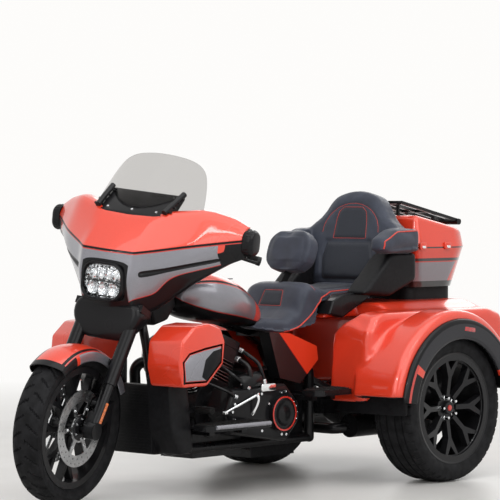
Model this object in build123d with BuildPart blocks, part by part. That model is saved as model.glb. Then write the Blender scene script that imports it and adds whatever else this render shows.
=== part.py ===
"""A motorised trike: a touring motorcycle front end, an open V-twin and two driven rear wheels.

Millimetres, +X forward, +Y to the rider's left, +Z up. The origin is on the floor in the middle of
the whole vehicle. The front end is modelled straight ahead and is turned to its parked angle about
the steering axis when it is written.
"""

import os
from math import cos, radians, sin, sqrt, tan

from build123d import *

# Wheels and steering
FRONT_AXLE_X = 1035.0
WHEELBASE = 1740.0
REAR_AXLE_X = FRONT_AXLE_X - WHEELBASE
FRONT_TYRE_R = 319.5
FRONT_TYRE_W = 130.0
FRONT_CROWN = 0.42
FRONT_SEAT_R = 241.5
FRONT_RIM_W = 95.0
REAR_TYRE_R = 325.5
REAR_TYRE_W = 215.0
REAR_SEAT_R = 228.5
REAR_RIM_W = 190.0
FLANGE_H = 11.0
FLANGE_T = 4.0
BARREL_T = 16.0
SPOKES = 8
FRONT_AXLE_R = 12.5
REAR_AXLE_R = 20.0
RUNNING = 0.05
FIT = 0.2
RAKE = 26.0
TRAIL = 100.0
PARKED_STEER = 15.0

# Fork and front end
FORK_RAKE = 29.0
FORK_Y = 120.0
FORK_TUBE_R = 29.0
FORK_LEG_R = 23.5
FORK_TOP_Z = 1000.0
FORK_JOINT_Z = 500.0
CLAMP_LOW_Z = 790.0
CLAMP_HIGH_Z = 975.0
CLAMP_T = 30.0
STEM_R = 15.0
NECK_R = 32.0
DISC_R = 160.0
DISC_T = 5.0
FRONT_HUB_HALF = 55.0
CALIPER_ANGLE = 150.0
CALIPER_IN = FRONT_HUB_HALF + DISC_T / 2 - 17.0
CALIPER_OUT = CALIPER_IN + 46.0
FENDER_T = 4.0
FENDER_HALF_W = 84.0

# Body
BODY_HALF_W = 695.0
WELL_R = REAR_TYRE_R + 46.5
FENDER_R = WELL_R + 65.0
BAND_R = FENDER_R - 35.0
ARCH_R = REAR_TYRE_R - 17.5
BAND_T = 20.0
TYRE_TO_BAND = 19.5
REAR_WHEEL_Y = BODY_HALF_W - BAND_T - TYRE_TO_BAND - REAR_TYRE_W / 2
BODY_WALL = 12.0
TRUNK_FLOOR_Z = 432.0
BODY_TOP_Z = 788.0
BODY_HALF_CORE = 480.0
BODY_REAR_X = -1290.0
TRUNK_HALF_W = 290.0
LID_T = 34.0
BOX_FLOOR_Z = 845.0
BOX_SPLIT_Z = 1030.0
BOX_FRONT_X = -890.0
BOX_REAR_X = -1338.0
BOX_HALF_W = 278.0
BOX_WALL = 12.0
LID_FRONT_Z = 1186.0
LID_REAR_Z = 1094.0

# The front axle's height straight ahead, such that the turned tyre just meets the floor
TURN_COS = cos(radians(PARKED_STEER))
RAKE_SIN = sin(radians(RAKE))
RAKE_COS = cos(radians(RAKE))
WHEEL_LEAN = RAKE_SIN * sin(radians(PARKED_STEER))
TURNED_AXLE_Z = FRONT_TYRE_R * sqrt(1 - WHEEL_LEAN**2) + FRONT_CROWN * FRONT_TYRE_W / 2 * WHEEL_LEAN
TURN_DROP = RAKE_COS * RAKE_SIN * TRAIL * (1 - TURN_COS)
FRONT_AXLE_Z = (TURNED_AXLE_Z - TURN_DROP) / (RAKE_COS**2 * (1 - TURN_COS) + TURN_COS)

STEER_FOOT = Vector(FRONT_AXLE_X + TRAIL, 0, 0)
STEER_AXIS = Axis(STEER_FOOT, (-RAKE_SIN, 0, RAKE_COS))
FRONT_CENTRE = Vector(FRONT_AXLE_X, 0, FRONT_AXLE_Z)

os.makedirs("parts", exist_ok=True)


def save(part, name):
    """Label a finished piece and write it."""
    part.label = name
    export_step(part, f"parts/{name}.step")


def save_turned(part, name):
    """Write a piece of the front end at the parked steering angle."""
    save(part.rotate(STEER_AXIS, PARKED_STEER), name)


def largest(part, count):
    """The part's largest solids, without the slivers that a cut leaves."""
    return Compound(part.solids().sort_by(SortBy.VOLUME)[-count:])


def steer_x(z):
    """X of the steering axis at a height."""
    return STEER_FOOT.X - z * tan(radians(RAKE))


def fork_x(z):
    """X of the fork legs at a height."""
    return FRONT_AXLE_X - (z - FRONT_AXLE_Z) * tan(radians(FORK_RAKE))


def axle_plane(x, y, z):
    """A plane across an axle, its normal towards the rider's left."""
    return Plane(origin=(x, y, z), x_dir=(1, 0, 0), z_dir=(0, 1, 0))


def along(start, end):
    """A plane at start, its normal towards end."""
    return Plane(origin=start, z_dir=Vector(end) - Vector(start))


def side_plane(y):
    """A plane that is seen from the rider's right: its X forward, its Y up, at a distance to the left."""
    return Plane(origin=(0, y, 0), x_dir=(1, 0, 0), z_dir=(0, -1, 0))


SIDE_PLANE = side_plane(0)


# Wheels

# Tyre outline from the rim lip to the crown: share of the half width, share of the section height
FRONT_OUTLINE = ((1.0, 0.45), (0.88, 0.80), (FRONT_CROWN, 1.0))
REAR_OUTLINE = ((1.0, 0.42), (0.95, 0.84), (0.62, 1.0))


def make_tyre(centre, radius, width, seat_r, rim_w, outline):
    """A tyre on its rim, turned about the axle."""
    bead = rim_w / 2 - FLANGE_T - FIT
    seat = seat_r + FIT
    lip = seat_r + FLANGE_H + FIT
    side = [(bead, seat), (bead, lip)]
    side += [(width / 2 * share, lip + (radius - lip) * height) for share, height in outline]
    points = side + [(-y, r) for y, r in reversed(side)]
    with BuildPart() as tyre:
        with BuildSketch(Plane(origin=centre, x_dir=(0, 1, 0), z_dir=(1, 0, 0))):
            Polygon(*points, align=None)
        revolve(axis=Axis(centre, (0, 1, 0)))
    return tyre.part


def make_rim(centre, side, seat_r, rim_w, hub, bore_r, dish):
    """A split-spoke rim. hub is radius, inner and outer face; dish is the spokes' face at hub and rim."""
    hub_r, hub_in, hub_out = hub
    face_hub, face_rim, spoke_t = dish
    well_r = seat_r - BARREL_T
    stem = 11.0
    fork_r = hub_r + (well_r - hub_r) * 0.48
    crotch_r = fork_r + 34.0
    spread = well_r * tan(radians(90.0 / SPOKES))
    tip = 8.0
    wheel = axle_plane(centre.X, centre.Y, centre.Z)
    radial = Plane(origin=centre, x_dir=(0, 1, 0), z_dir=(1, 0, 0))
    end_r = well_r + 4
    root_r = hub_r - 6
    spoke = [(root_r, -stem), (fork_r, -stem), (end_r, -spread - tip), (end_r, -spread + tip), (crotch_r, 0),
             (end_r, spread - tip), (end_r, spread + tip), (fork_r, stem), (root_r, stem)]
    half = rim_w / 2
    lip_r = seat_r + FLANGE_H
    with BuildPart() as rim:
        with BuildSketch(wheel):
            with PolarLocations(0, SPOKES):
                Polygon(*spoke, align=None)
        extrude(amount=rim_w, both=True)
        with BuildSketch(radial):
            Polygon((side * face_hub, 0), (side * face_rim, seat_r), (side * (face_rim - spoke_t), seat_r),
                    (side * (face_hub - spoke_t), 0), align=None)
        revolve(axis=Axis(centre, (0, 1, 0)), mode=Mode.INTERSECT)
        with BuildSketch(radial):
            Polygon((-half, well_r), (-half, lip_r), (-half + FLANGE_T, lip_r), (-half + FLANGE_T, seat_r),
                    (half - FLANGE_T, seat_r), (half - FLANGE_T, lip_r), (half, lip_r), (half, well_r), align=None)
        revolve(axis=Axis(centre, (0, 1, 0)))
        with BuildSketch(wheel.offset(side * hub_in)):
            Circle(hub_r)
        extrude(amount=side * (hub_out - hub_in))
        with BuildSketch(wheel.offset(side * hub_in)):
            Circle(bore_r)
        extrude(amount=side * (hub_out - hub_in), mode=Mode.SUBTRACT)
    return rim.part


save_turned(make_tyre(FRONT_CENTRE, FRONT_TYRE_R, FRONT_TYRE_W, FRONT_SEAT_R, FRONT_RIM_W, FRONT_OUTLINE),
            "front_tyre")
save_turned(make_rim(FRONT_CENTRE, 1, FRONT_SEAT_R, FRONT_RIM_W, (38.0, -FRONT_HUB_HALF, FRONT_HUB_HALF),
                     FRONT_AXLE_R + RUNNING, (16.0, 16.0, 32.0)), "front_rim")

REAR_HUB_R = 62.0
REAR_HUB_IN = -40.0
REAR_HUB_OUT = 52.0
REAR_DISC_R = 140.0
for side_name, side in (("left", 1), ("right", -1)):
    rear_centre = Vector(REAR_AXLE_X, side * REAR_WHEEL_Y, REAR_TYRE_R)
    save(make_tyre(rear_centre, REAR_TYRE_R, REAR_TYRE_W, REAR_SEAT_R, REAR_RIM_W, REAR_OUTLINE),
         f"rear_tyre_{side_name}")
    with BuildPart() as rear_rim:
        add(make_rim(rear_centre, side, REAR_SEAT_R, REAR_RIM_W, (REAR_HUB_R, REAR_HUB_IN, REAR_HUB_OUT),
                     REAR_AXLE_R + RUNNING, (52.0, 86.0, 34.0)))
        with BuildSketch(axle_plane(REAR_AXLE_X, side * (REAR_WHEEL_Y + REAR_HUB_IN), REAR_TYRE_R)):
            Circle(REAR_DISC_R)
            Circle(REAR_AXLE_R + RUNNING, mode=Mode.SUBTRACT)
        extrude(amount=-side * DISC_T)
    save(rear_rim.part, f"rear_rim_{side_name}")

CARRIER_R = 58.0
DISC_BAND = 48.0
with BuildPart() as front_discs:
    with BuildSketch(axle_plane(FRONT_AXLE_X, FRONT_HUB_HALF, FRONT_AXLE_Z)):
        Circle(DISC_R)
        Circle(DISC_R - DISC_BAND, mode=Mode.SUBTRACT)
        with PolarLocations((DISC_R - DISC_BAND + CARRIER_R) / 2, 6):
            Rectangle(DISC_R - DISC_BAND - CARRIER_R + 12, 20)
        Circle(CARRIER_R)
        Circle(FRONT_AXLE_R + 6, mode=Mode.SUBTRACT)
        for row, count in ((13.0, 30), (34.0, 24)):
            with PolarLocations(DISC_R - row, count):
                Circle(4.0, mode=Mode.SUBTRACT)
    extrude(amount=DISC_T)
    mirror(about=Plane.XZ)
save_turned(front_discs.part, "front_discs")


# Fork and steering

FORK_TOP = Vector(fork_x(FORK_TOP_Z), FORK_Y, FORK_TOP_Z)
FORK_JOINT = Vector(fork_x(FORK_JOINT_Z), FORK_Y, FORK_JOINT_Z)
FORK_FOOT = Vector(FRONT_AXLE_X, FORK_Y, FRONT_AXLE_Z)

with BuildPart() as fork_tubes:
    with BuildSketch(along(FORK_JOINT, FORK_TOP)):
        Circle(FORK_TUBE_R)
    extrude(amount=(FORK_TOP - FORK_JOINT).length)
    mirror(about=Plane.XZ)

with BuildPart() as fork_lowers:
    with BuildSketch(along(FORK_JOINT, FORK_FOOT)):
        Circle(FORK_LEG_R)
    extrude(amount=(FORK_JOINT - FORK_FOOT).length)
    with BuildSketch(axle_plane(FRONT_AXLE_X, FORK_Y, FRONT_AXLE_Z)):
        Circle(36.0)
    extrude(amount=FORK_LEG_R, both=True)
    with BuildSketch(axle_plane(FRONT_AXLE_X, CALIPER_OUT, FRONT_AXLE_Z)):
        Polygon((20, -20), (-20, -75), (-150, -110), (-130, -40), (-20, 15), align=None)
    extrude(amount=FORK_Y - CALIPER_OUT)
    with BuildSketch(axle_plane(FRONT_AXLE_X, 0, FRONT_AXLE_Z)):
        Circle(FRONT_AXLE_R)
    extrude(amount=FORK_Y)
    mirror(about=Plane.XZ)

STEER_UP = Vector(STEER_AXIS.direction)


def steer_plane(z):
    """A plane square to the steering axis, where the axis passes a height."""
    return Plane(origin=(steer_x(z), 0, z), x_dir=(0, 1, 0), z_dir=STEER_UP)


CLAMP_REACH = 62.0
CLAMP_BACK = 30.0
with BuildPart() as triple_clamps:
    for z in (CLAMP_LOW_Z, CLAMP_HIGH_Z):
        with BuildSketch(steer_plane(z)):
            with BuildLine():
                Polyline((-FORK_Y - 44, 10), (-20, CLAMP_BACK), (20, CLAMP_BACK), (FORK_Y + 44, 10),
                         (FORK_Y + 44, -CLAMP_REACH), (-FORK_Y - 44, -CLAMP_REACH), close=True)
            make_face()
        extrude(amount=CLAMP_T / 2, both=True)
    with BuildSketch(steer_plane(CLAMP_LOW_Z)):
        Circle(STEM_R)
    extrude(amount=(CLAMP_HIGH_Z - CLAMP_LOW_Z) / RAKE_COS)
    add(fork_tubes.part, mode=Mode.SUBTRACT)

save_turned(fork_tubes.part, "fork_tubes")
save_turned(fork_lowers.part, "fork_lowers")
save_turned(triple_clamps.part, "triple_clamps")

# Front fender: angles from straight ahead, and the section as half width and radius beyond the tyre
FENDER_FROM = 52.0
FENDER_TO = 155.0
FENDER_LUG_Z = 588.0
FENDER_SECTION = ((FENDER_HALF_W, -38.0), (FENDER_HALF_W, -6.0), (52.0, 16.0), (0.0, 24.0))
FENDER_SKIN = ((FENDER_HALF_W - FENDER_T, -38.0), (FENDER_HALF_W - FENDER_T, -8.0), (50.0, 12.0), (0.0, 20.0))


def radial_plane(centre, angle):
    """A plane through an axle, its X along the axle and its Y outwards at an angle from straight ahead."""
    return Plane(origin=centre, x_dir=(0, 1, 0), z_dir=(sin(radians(angle)), 0, -cos(radians(angle))))


with BuildPart() as front_fender:
    outer = [(y, FRONT_TYRE_R + rise) for y, rise in FENDER_SECTION]
    inner = [(y, FRONT_TYRE_R + rise) for y, rise in FENDER_SKIN]
    loop = outer + [(-y, r) for y, r in reversed(outer[:-1])]
    loop += [(-y, r) for y, r in inner[:-1]] + list(reversed(inner))
    with BuildSketch(radial_plane(FRONT_CENTRE, FENDER_FROM)):
        Polygon(*loop, align=None)
    revolve(axis=Axis(FRONT_CENTRE, (0, -1, 0)), revolution_arc=FENDER_TO - FENDER_FROM)
    lug_from = FENDER_HALF_W - FENDER_T
    lug_to = FORK_Y - FORK_TUBE_R - FIT
    for y in (-1, 1):
        with Locations((fork_x(FENDER_LUG_Z), y * (lug_from + lug_to) / 2, FENDER_LUG_Z)):
            Box(26, lug_to - lug_from, 26)
save_turned(front_fender.part, "front_fender")

with BuildPart() as front_calipers:
    with BuildSketch(axle_plane(FRONT_AXLE_X, CALIPER_IN, FRONT_AXLE_Z)):
        with Locations(Location((0, 0), -CALIPER_ANGLE)):
            with Locations((DISC_R - 22, 0)):
                RectangleRounded(70, 120, 16)
    extrude(amount=CALIPER_OUT - CALIPER_IN)
    with BuildSketch(axle_plane(FRONT_AXLE_X, FRONT_HUB_HALF - 4, FRONT_AXLE_Z)):
        Circle(DISC_R + 5)
    extrude(amount=DISC_T + 8, mode=Mode.SUBTRACT)
    mirror(about=Plane.XZ)
    add(fork_lowers.part, mode=Mode.SUBTRACT)
    add(fork_tubes.part, mode=Mode.SUBTRACT)
save_turned(front_calipers.part, "front_calipers")


# Fairing: sections across the width. Columns: half width, then X and Z of the lower edge, the nose,
# the stripe and the top edge, and X of the back
FAIRING_SECTIONS = (
    (0.0, 800, 755, 884, 905, 868, 1050, 718, 1196, 680),
    (150.0, 785, 775, 852, 930, 838, 1068, 700, 1220, 648),
    (300.0, 668, 950, 742, 1030, 728, 1112, 640, 1228, 560),
    (400.0, 572, 1030, 616, 1084, 608, 1138, 552, 1206, 502),
    (462.0, 520, 1062, 545, 1104, 541, 1142, 506, 1180, 474),
)
FAIRING_T = 6.0
CHIN_LIP = 14.0


def fairing_half(rows, inset):
    """One half of the fairing as a loft across its width, drawn in by a wall thickness."""
    with BuildPart() as half:
        for y, low_x, low_z, nose_x, nose_z, line_x, line_z, top_x, top_z, back_x in rows:
            with BuildSketch(side_plane(y)):
                Polygon((low_x - CHIN_LIP - inset, low_z + inset), (low_x - inset, low_z + inset),
                        (nose_x - inset, nose_z), (line_x - inset, line_z), (top_x - inset, top_z - inset),
                        (back_x - inset, top_z - inset), align=None)
        loft(ruled=True)
    return half.part


FAIRING_SOLID = fairing_half(FAIRING_SECTIONS, 0.0)
FAIRING_HOLLOW = fairing_half(FAIRING_SECTIONS, FAIRING_T)
HEADLAMP_Z = 914.0
HEADLAMP_W = 196.0
HEADLAMP_H = 150.0
HEADLAMP_X = 804.0
HEADLAMP_CORNER = 40.0
HEADLAMP_PROUD = 4.0
NOSE_X = FAIRING_SECTIONS[0][3]

with BuildPart() as headlamp:
    with BuildSketch(Plane(origin=(HEADLAMP_X, 0, HEADLAMP_Z), x_dir=(0, 1, 0), z_dir=(1, 0, 0))):
        RectangleRounded(HEADLAMP_W, HEADLAMP_H, HEADLAMP_CORNER)
    extrude(amount=NOSE_X - HEADLAMP_X + HEADLAMP_PROUD)
    fillet(headlamp.faces().sort_by(Axis.X)[-1].edges(), 12)

with BuildPart() as fairing_outer:
    add(FAIRING_SOLID)
    add(FAIRING_HOLLOW, mode=Mode.SUBTRACT)
    mirror(about=Plane.XZ)
    with BuildSketch(Plane(origin=(HEADLAMP_X, 0, HEADLAMP_Z), x_dir=(0, 1, 0), z_dir=(1, 0, 0))):
        RectangleRounded(HEADLAMP_W + 2 * FIT, HEADLAMP_H + 2 * FIT, HEADLAMP_CORNER + FIT)
    extrude(amount=400, mode=Mode.SUBTRACT)
    add(fork_tubes.part, mode=Mode.SUBTRACT)
    add(triple_clamps.part, mode=Mode.SUBTRACT)

DASH_T = 24.0
DASH_LOW_Z = 1010.0
with BuildPart() as dash:
    for y, _, low_z, _, _, _, _, _, top_z, back_x in FAIRING_SECTIONS:
        rim = FAIRING_T + FIT
        low_z = max(low_z, DASH_LOW_Z)
        with BuildSketch(side_plane(y)):
            Polygon((back_x, low_z + rim), (back_x + DASH_T, low_z + rim), (back_x + DASH_T, top_z - rim),
                    (back_x, top_z - rim), align=None)
    loft(ruled=True)
    mirror(about=Plane.XZ)
    add(fork_tubes.part, mode=Mode.SUBTRACT)
    add(triple_clamps.part, mode=Mode.SUBTRACT)

# Windscreen and the vent at its foot
SCREEN_LEAN = 40.0
SCREEN_T = 5.0
SCREEN_BEND_R = 400.0
SCREEN_TALL = 332.0
SCREEN_FOOT = Vector(700, 0, 1190)
SCREEN_UP = Vector(-sin(radians(SCREEN_LEAN)), 0, cos(radians(SCREEN_LEAN)))
SCREEN_FACE = Plane(origin=SCREEN_FOOT, x_dir=(0, 1, 0), z_dir=(SCREEN_UP.Z, 0, -SCREEN_UP.X))
SCREEN_SIDE = ((252, 0), (272, 70), (250, 190), (220, 280), (170, SCREEN_TALL))
SCREEN_OUTLINE = SCREEN_SIDE + tuple((-y, z) for y, z in reversed(SCREEN_SIDE))
with BuildPart() as windscreen:
    with BuildSketch(Plane(origin=SCREEN_FOOT, x_dir=(0, 1, 0), z_dir=SCREEN_UP)):
        with Locations((0, SCREEN_BEND_R)):
            Circle(SCREEN_BEND_R)
            Circle(SCREEN_BEND_R - SCREEN_T, mode=Mode.SUBTRACT)
    extrude(amount=SCREEN_TALL)
    with BuildSketch(SCREEN_FACE):
        Polygon(*SCREEN_OUTLINE, align=None)
    extrude(amount=200, both=True, mode=Mode.INTERSECT)
    add(FAIRING_SOLID, mode=Mode.SUBTRACT)
    add(FAIRING_SOLID.mirror(Plane.XZ), mode=Mode.SUBTRACT)

VENT_HALF_W = 165.0
VENT_OUTLINE = ((790, 1105), (758, 1190), (660, 1262), (640, 1240), (700, 1150))
with BuildPart() as screen_vent:
    with BuildSketch(SIDE_PLANE):
        Polygon(*VENT_OUTLINE, align=None)
    extrude(amount=VENT_HALF_W, both=True)
    add(FAIRING_SOLID, mode=Mode.SUBTRACT)
    add(FAIRING_SOLID.mirror(Plane.XZ), mode=Mode.SUBTRACT)
    with BuildSketch(Plane(origin=SCREEN_FOOT, x_dir=(0, 1, 0), z_dir=SCREEN_UP)):
        with Locations((0, SCREEN_BEND_R)):
            Circle(SCREEN_BEND_R)
    extrude(amount=SCREEN_TALL, both=True, mode=Mode.SUBTRACT)

BAR_Z = 1035.0
BAR_R = 14.0
BAR_BEND = 40.0
BAR_MIDDLE = (steer_x(BAR_Z), 0, BAR_Z)
RISER_Y = 45.0
RISER_R = 19.0
GRIP_R = 18.0
GRIP_FROM = Vector(480, 352, 1072)
GRIP_TO = Vector(392, 462, 1038)
with BuildPart() as handlebar:
    with BuildLine():
        FilletPolyline(BAR_MIDDLE, (BAR_MIDDLE[0], 70, BAR_Z), (545, 245, 1092), tuple(GRIP_FROM),
                       radius=BAR_BEND)
    with BuildSketch(axle_plane(*BAR_MIDDLE)):
        Circle(BAR_R)
    sweep()
    with BuildSketch(steer_plane(CLAMP_HIGH_Z).offset(CLAMP_T / 2)):
        with Locations((RISER_Y, 0)):
            Circle(RISER_R)
    extrude(amount=(BAR_Z - CLAMP_HIGH_Z) / RAKE_COS - CLAMP_T / 2)
    mirror(about=Plane.XZ)

with BuildPart() as grips:
    with BuildSketch(along(GRIP_FROM, GRIP_TO)):
        Circle(GRIP_R)
    extrude(amount=(GRIP_TO - GRIP_FROM).length)
    mirror(about=Plane.XZ)
    add(handlebar.part, mode=Mode.SUBTRACT)

MIRROR_AT = Vector(500, FAIRING_SECTIONS[-1][0], 1138)
MIRROR_LONG = 92.0
MIRROR_TALL = 124.0
MIRROR_CORNER = 32.0
MIRROR_OUT = 42.0
MIRROR_ROUND = 16.0
with BuildPart() as mirrors:
    with BuildSketch(Plane(origin=MIRROR_AT, x_dir=(1, 0, 0), z_dir=(0, 1, 0))):
        RectangleRounded(MIRROR_LONG, MIRROR_TALL, MIRROR_CORNER)
    extrude(amount=MIRROR_OUT)
    fillet(mirrors.faces().sort_by(Axis.Y)[-1].edges(), MIRROR_ROUND)
    mirror(about=Plane.XZ)

with BuildPart() as fairing_inner:
    add(dash.part)
    add(windscreen.part, mode=Mode.SUBTRACT)

save_turned(headlamp.part, "headlamp")
save_turned(largest(fairing_outer.part, 1), "fairing_outer")
save_turned(fairing_inner.part, "fairing_inner")
save_turned(windscreen.part, "windscreen")
save_turned(screen_vent.part, "screen_vent")
save_turned(handlebar.part, "handlebar")
save_turned(grips.part, "grips")
save_turned(mirrors.part, "mirrors")


# Frame: columns are the tube's radius, its bend radius and its points on the left side
BODY_FLOOR_Z = 412.0
RAIL_Z = BODY_FLOOR_Z - 16.0 - FIT
NECK_FROM = CLAMP_LOW_Z + 24.0
NECK_TO = CLAMP_HIGH_Z - 24.0
FRAME_TUBES = (
    (19.0, 60.0, ((652, 26, 850), (640, 70, 640), (600, 118, 190), (-330, 118, 190))),
    (22.0, 40.0, ((-330, 118, 190), (-330, 118, 480), (-250, 105, 610), (-90, 60, 672))),
    (16.0, 40.0, ((-335, 118, 450), (-420, 180, RAIL_Z), (-1200, 200, RAIL_Z))),
)
BACKBONE_R = 30.0
BACKBONE_FROM = Vector(steer_x(880), 0, 880)
BACKBONE_TO = Vector(-90, 0, 672)
NECK_REACH = 60.0
with BuildPart() as frame:
    for radius, bend, points in FRAME_TUBES:
        with BuildLine() as run:
            FilletPolyline(*points, radius=bend)
        with BuildSketch(Plane(origin=points[0], z_dir=run.line % 0)):
            Circle(radius)
        sweep()
        with Locations(points[0], points[-1]):
            Sphere(radius)
    mirror(about=Plane.XZ)
    with BuildSketch(along(BACKBONE_FROM, BACKBONE_TO)):
        Circle(BACKBONE_R)
    extrude(amount=(BACKBONE_TO - BACKBONE_FROM).length)
    with Locations(tuple(BACKBONE_TO)):
        Box(60, 150, 50)
    with Locations((-330, 0, 330)):
        Box(40, 236, 60)
    with BuildSketch(steer_plane(NECK_FROM)):
        Circle(NECK_R + 6)
    extrude(amount=(NECK_TO - NECK_FROM) / RAKE_COS)
    with BuildSketch(steer_plane(NECK_FROM - NECK_REACH)):
        Circle(NECK_R + 30)
    extrude(amount=NECK_REACH / RAKE_COS, mode=Mode.SUBTRACT)
    with BuildSketch(steer_plane(NECK_FROM - NECK_REACH)):
        Circle(STEM_R + RUNNING)
    extrude(amount=(NECK_TO - NECK_FROM + 2 * NECK_REACH) / RAKE_COS, mode=Mode.SUBTRACT)
save(frame.part, "frame")


# Engine: the V leans both ways from the crank
CRANK_X = 260.0
CRANK_Z = 350.0
V_HALF = 22.5
CYLINDER_FROM = 110.0
CYLINDER_TO = 226.0
HEAD_TO = 284.0
ROCKER_TO = 322.0
FIN_R = 88.0
CORE_R = 68.0
FIN_COUNT = 9
FIN_T = 5.0


def bank_plane(lean, reach):
    """A plane across a cylinder, out from the crank. Lean is forward in degrees."""
    up = Vector(sin(radians(lean)), 0, cos(radians(lean)))
    return Plane(origin=Vector(CRANK_X, 0, CRANK_Z) + up * reach, x_dir=(0, 1, 0), z_dir=up)


with BuildPart() as engine_case:
    with BuildSketch(axle_plane(CRANK_X, 0, CRANK_Z)):
        Circle(125)
    extrude(amount=105, both=True)
    with Locations((CRANK_X - 20, 0, CRANK_Z - 120)):
        Box(300, 190, 170)
    with BuildSketch(axle_plane(CRANK_X, -105, CRANK_Z)):
        Circle(105)
    extrude(amount=-55)
    for lean in (-V_HALF, V_HALF):
        with BuildSketch(bank_plane(lean, 40)):
            RectangleRounded(150, 130, 20)
        extrude(amount=CYLINDER_FROM - 40)

with BuildPart() as cylinders:
    for lean in (-V_HALF, V_HALF):
        with BuildSketch(bank_plane(lean, CYLINDER_FROM)):
            Circle(CORE_R)
        extrude(amount=CYLINDER_TO - CYLINDER_FROM)
        pitch = (CYLINDER_TO - CYLINDER_FROM - FIN_T) / (FIN_COUNT - 1)
        for index in range(FIN_COUNT):
            with BuildSketch(bank_plane(lean, CYLINDER_FROM + index * pitch)):
                RectangleRounded(2 * FIN_R, 2 * FIN_R - 30, 30)
            extrude(amount=FIN_T)
        with BuildSketch(bank_plane(lean, CYLINDER_TO)):
            RectangleRounded(2 * FIN_R, 2 * FIN_R - 30, 24)
        extrude(amount=HEAD_TO - CYLINDER_TO)
    split(bisect_by=Plane(origin=(CRANK_X + 1, 0, 0), z_dir=(1, 0, 0)), keep=Keep.BOTH)
    add(engine_case.part, mode=Mode.SUBTRACT)

with BuildPart() as rocker_covers:
    for lean in (-V_HALF, V_HALF):
        with BuildSketch(bank_plane(lean, HEAD_TO)):
            RectangleRounded(2 * FIN_R + 6, 2 * FIN_R - 40, 22)
        extrude(amount=ROCKER_TO - HEAD_TO)
    fillet(rocker_covers.edges().group_by(Axis.Z)[-1], 6)

CLUTCH_X = 20.0
CLUTCH_Z = 326.0
PRIMARY_IN = 150.0
PRIMARY_OUT = 268.0
with BuildPart() as primary_cover:
    with BuildSketch(axle_plane(0, PRIMARY_IN, 0)):
        with BuildLine():
            Polyline((CRANK_X + 60, -CRANK_Z - 95), (CRANK_X + 100, -CRANK_Z), (CRANK_X + 60, -CRANK_Z + 95),
                     (CLUTCH_X - 40, -CLUTCH_Z + 125), (CLUTCH_X - 125, -CLUTCH_Z + 40),
                     (CLUTCH_X - 125, -CLUTCH_Z - 40), (CLUTCH_X - 40, -CLUTCH_Z - 125), close=True)
        make_face()
    extrude(amount=PRIMARY_OUT - PRIMARY_IN)
    fillet(primary_cover.faces().sort_by(Axis.Y)[-1].edges(), 24)
    with BuildSketch(axle_plane(CLUTCH_X, PRIMARY_OUT, CLUTCH_Z)):
        Circle(76)
    extrude(amount=22)
    with BuildSketch(axle_plane(CRANK_X, 105, CRANK_Z)):
        Circle(80)
    extrude(amount=PRIMARY_IN - 105)

GEARBOX_REAR_X = -310.0
GEARBOX_FRONT_X = 60.0
GEARBOX_LOW_Z = 200.0
GEARBOX_TOP_Z = 500.0
GEARBOX_W = 190.0
SUMP_LOW_Z = 125.0
with BuildPart() as gearbox:
    gearbox_x = (GEARBOX_REAR_X + GEARBOX_FRONT_X) / 2
    with Locations((gearbox_x, 0, (GEARBOX_LOW_Z + GEARBOX_TOP_Z) / 2)):
        Box(GEARBOX_FRONT_X - GEARBOX_REAR_X, GEARBOX_W, GEARBOX_TOP_Z - GEARBOX_LOW_Z)
    with Locations((gearbox_x, 0, (GEARBOX_LOW_Z + SUMP_LOW_Z) / 2)):
        Box(280, GEARBOX_W - 20, GEARBOX_LOW_Z - SUMP_LOW_Z + 10)
    add(frame.part, mode=Mode.SUBTRACT)
    add(engine_case.part, mode=Mode.SUBTRACT)
    add(primary_cover.part, mode=Mode.SUBTRACT)

with BuildPart() as air_cleaner:
    with BuildSketch(axle_plane(CRANK_X, -100, 560)):
        Circle(34)
    extrude(amount=-60)
    with BuildSketch(axle_plane(CRANK_X + 10, -160, 560)):
        Circle(105)
    extrude(amount=-80)
    fillet(air_cleaner.faces().sort_by(Axis.Y)[0].edges(), 24)
    add(cylinders.part, mode=Mode.SUBTRACT)

for piece, name in ((engine_case, "engine_case"), (cylinders, "cylinders"), (rocker_covers, "rocker_covers"),
                    (primary_cover, "primary_cover"), (gearbox, "gearbox"), (air_cleaner, "air_cleaner")):
    save(piece.part, name)


# Tank: columns are X, half width, low Z and top Z
TANK_SECTIONS = ((440, 95, 790, 915), (340, 172, 735, 948), (140, 178, 705, 905), (-60, 90, 690, 775))
with BuildPart() as fuel_tank:
    for x, half, low, top in TANK_SECTIONS:
        with BuildSketch(Plane(origin=(x, 0, (low + top) / 2), x_dir=(0, 1, 0), z_dir=(1, 0, 0))):
            RectangleRounded(2 * half, top - low, (top - low) * 0.38)
    loft()
    with BuildSketch(along(BACKBONE_FROM, BACKBONE_TO)):
        Rectangle(2 * BACKBONE_R + 2 * FIT, 2 * BACKBONE_R + 2 * FIT)
    extrude(amount=1000, mode=Mode.SUBTRACT)
    add(frame.part, mode=Mode.SUBTRACT)
    add(rocker_covers.part, mode=Mode.SUBTRACT)

# Lower fairings: the pod and the leg below it, as side outlines on the left
POD_IN = 205.0
POD_OUT = 395.0
LEG_IN = 140.0
LEG_OUT = 275.0
POD_OUTLINE = ((752, 590), (735, 690), (650, 738), (500, 722), (452, 668), (560, 520), (700, 505))
LEG_OUTLINE = ((706, 520), (600, 520), (560, 200), (640, 186), (690, 300))
with BuildPart() as lower_fairings:
    with BuildSketch(side_plane(POD_IN)):
        Polygon(*POD_OUTLINE, align=None)
    extrude(amount=POD_IN - POD_OUT)
    fillet(lower_fairings.faces().sort_by(Axis.Y)[-1].edges(), 30)
    with BuildSketch(side_plane(LEG_IN)):
        Polygon(*LEG_OUTLINE, align=None)
    extrude(amount=LEG_IN - LEG_OUT)
    mirror(about=Plane.XZ)
    add(frame.part, mode=Mode.SUBTRACT)

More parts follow.
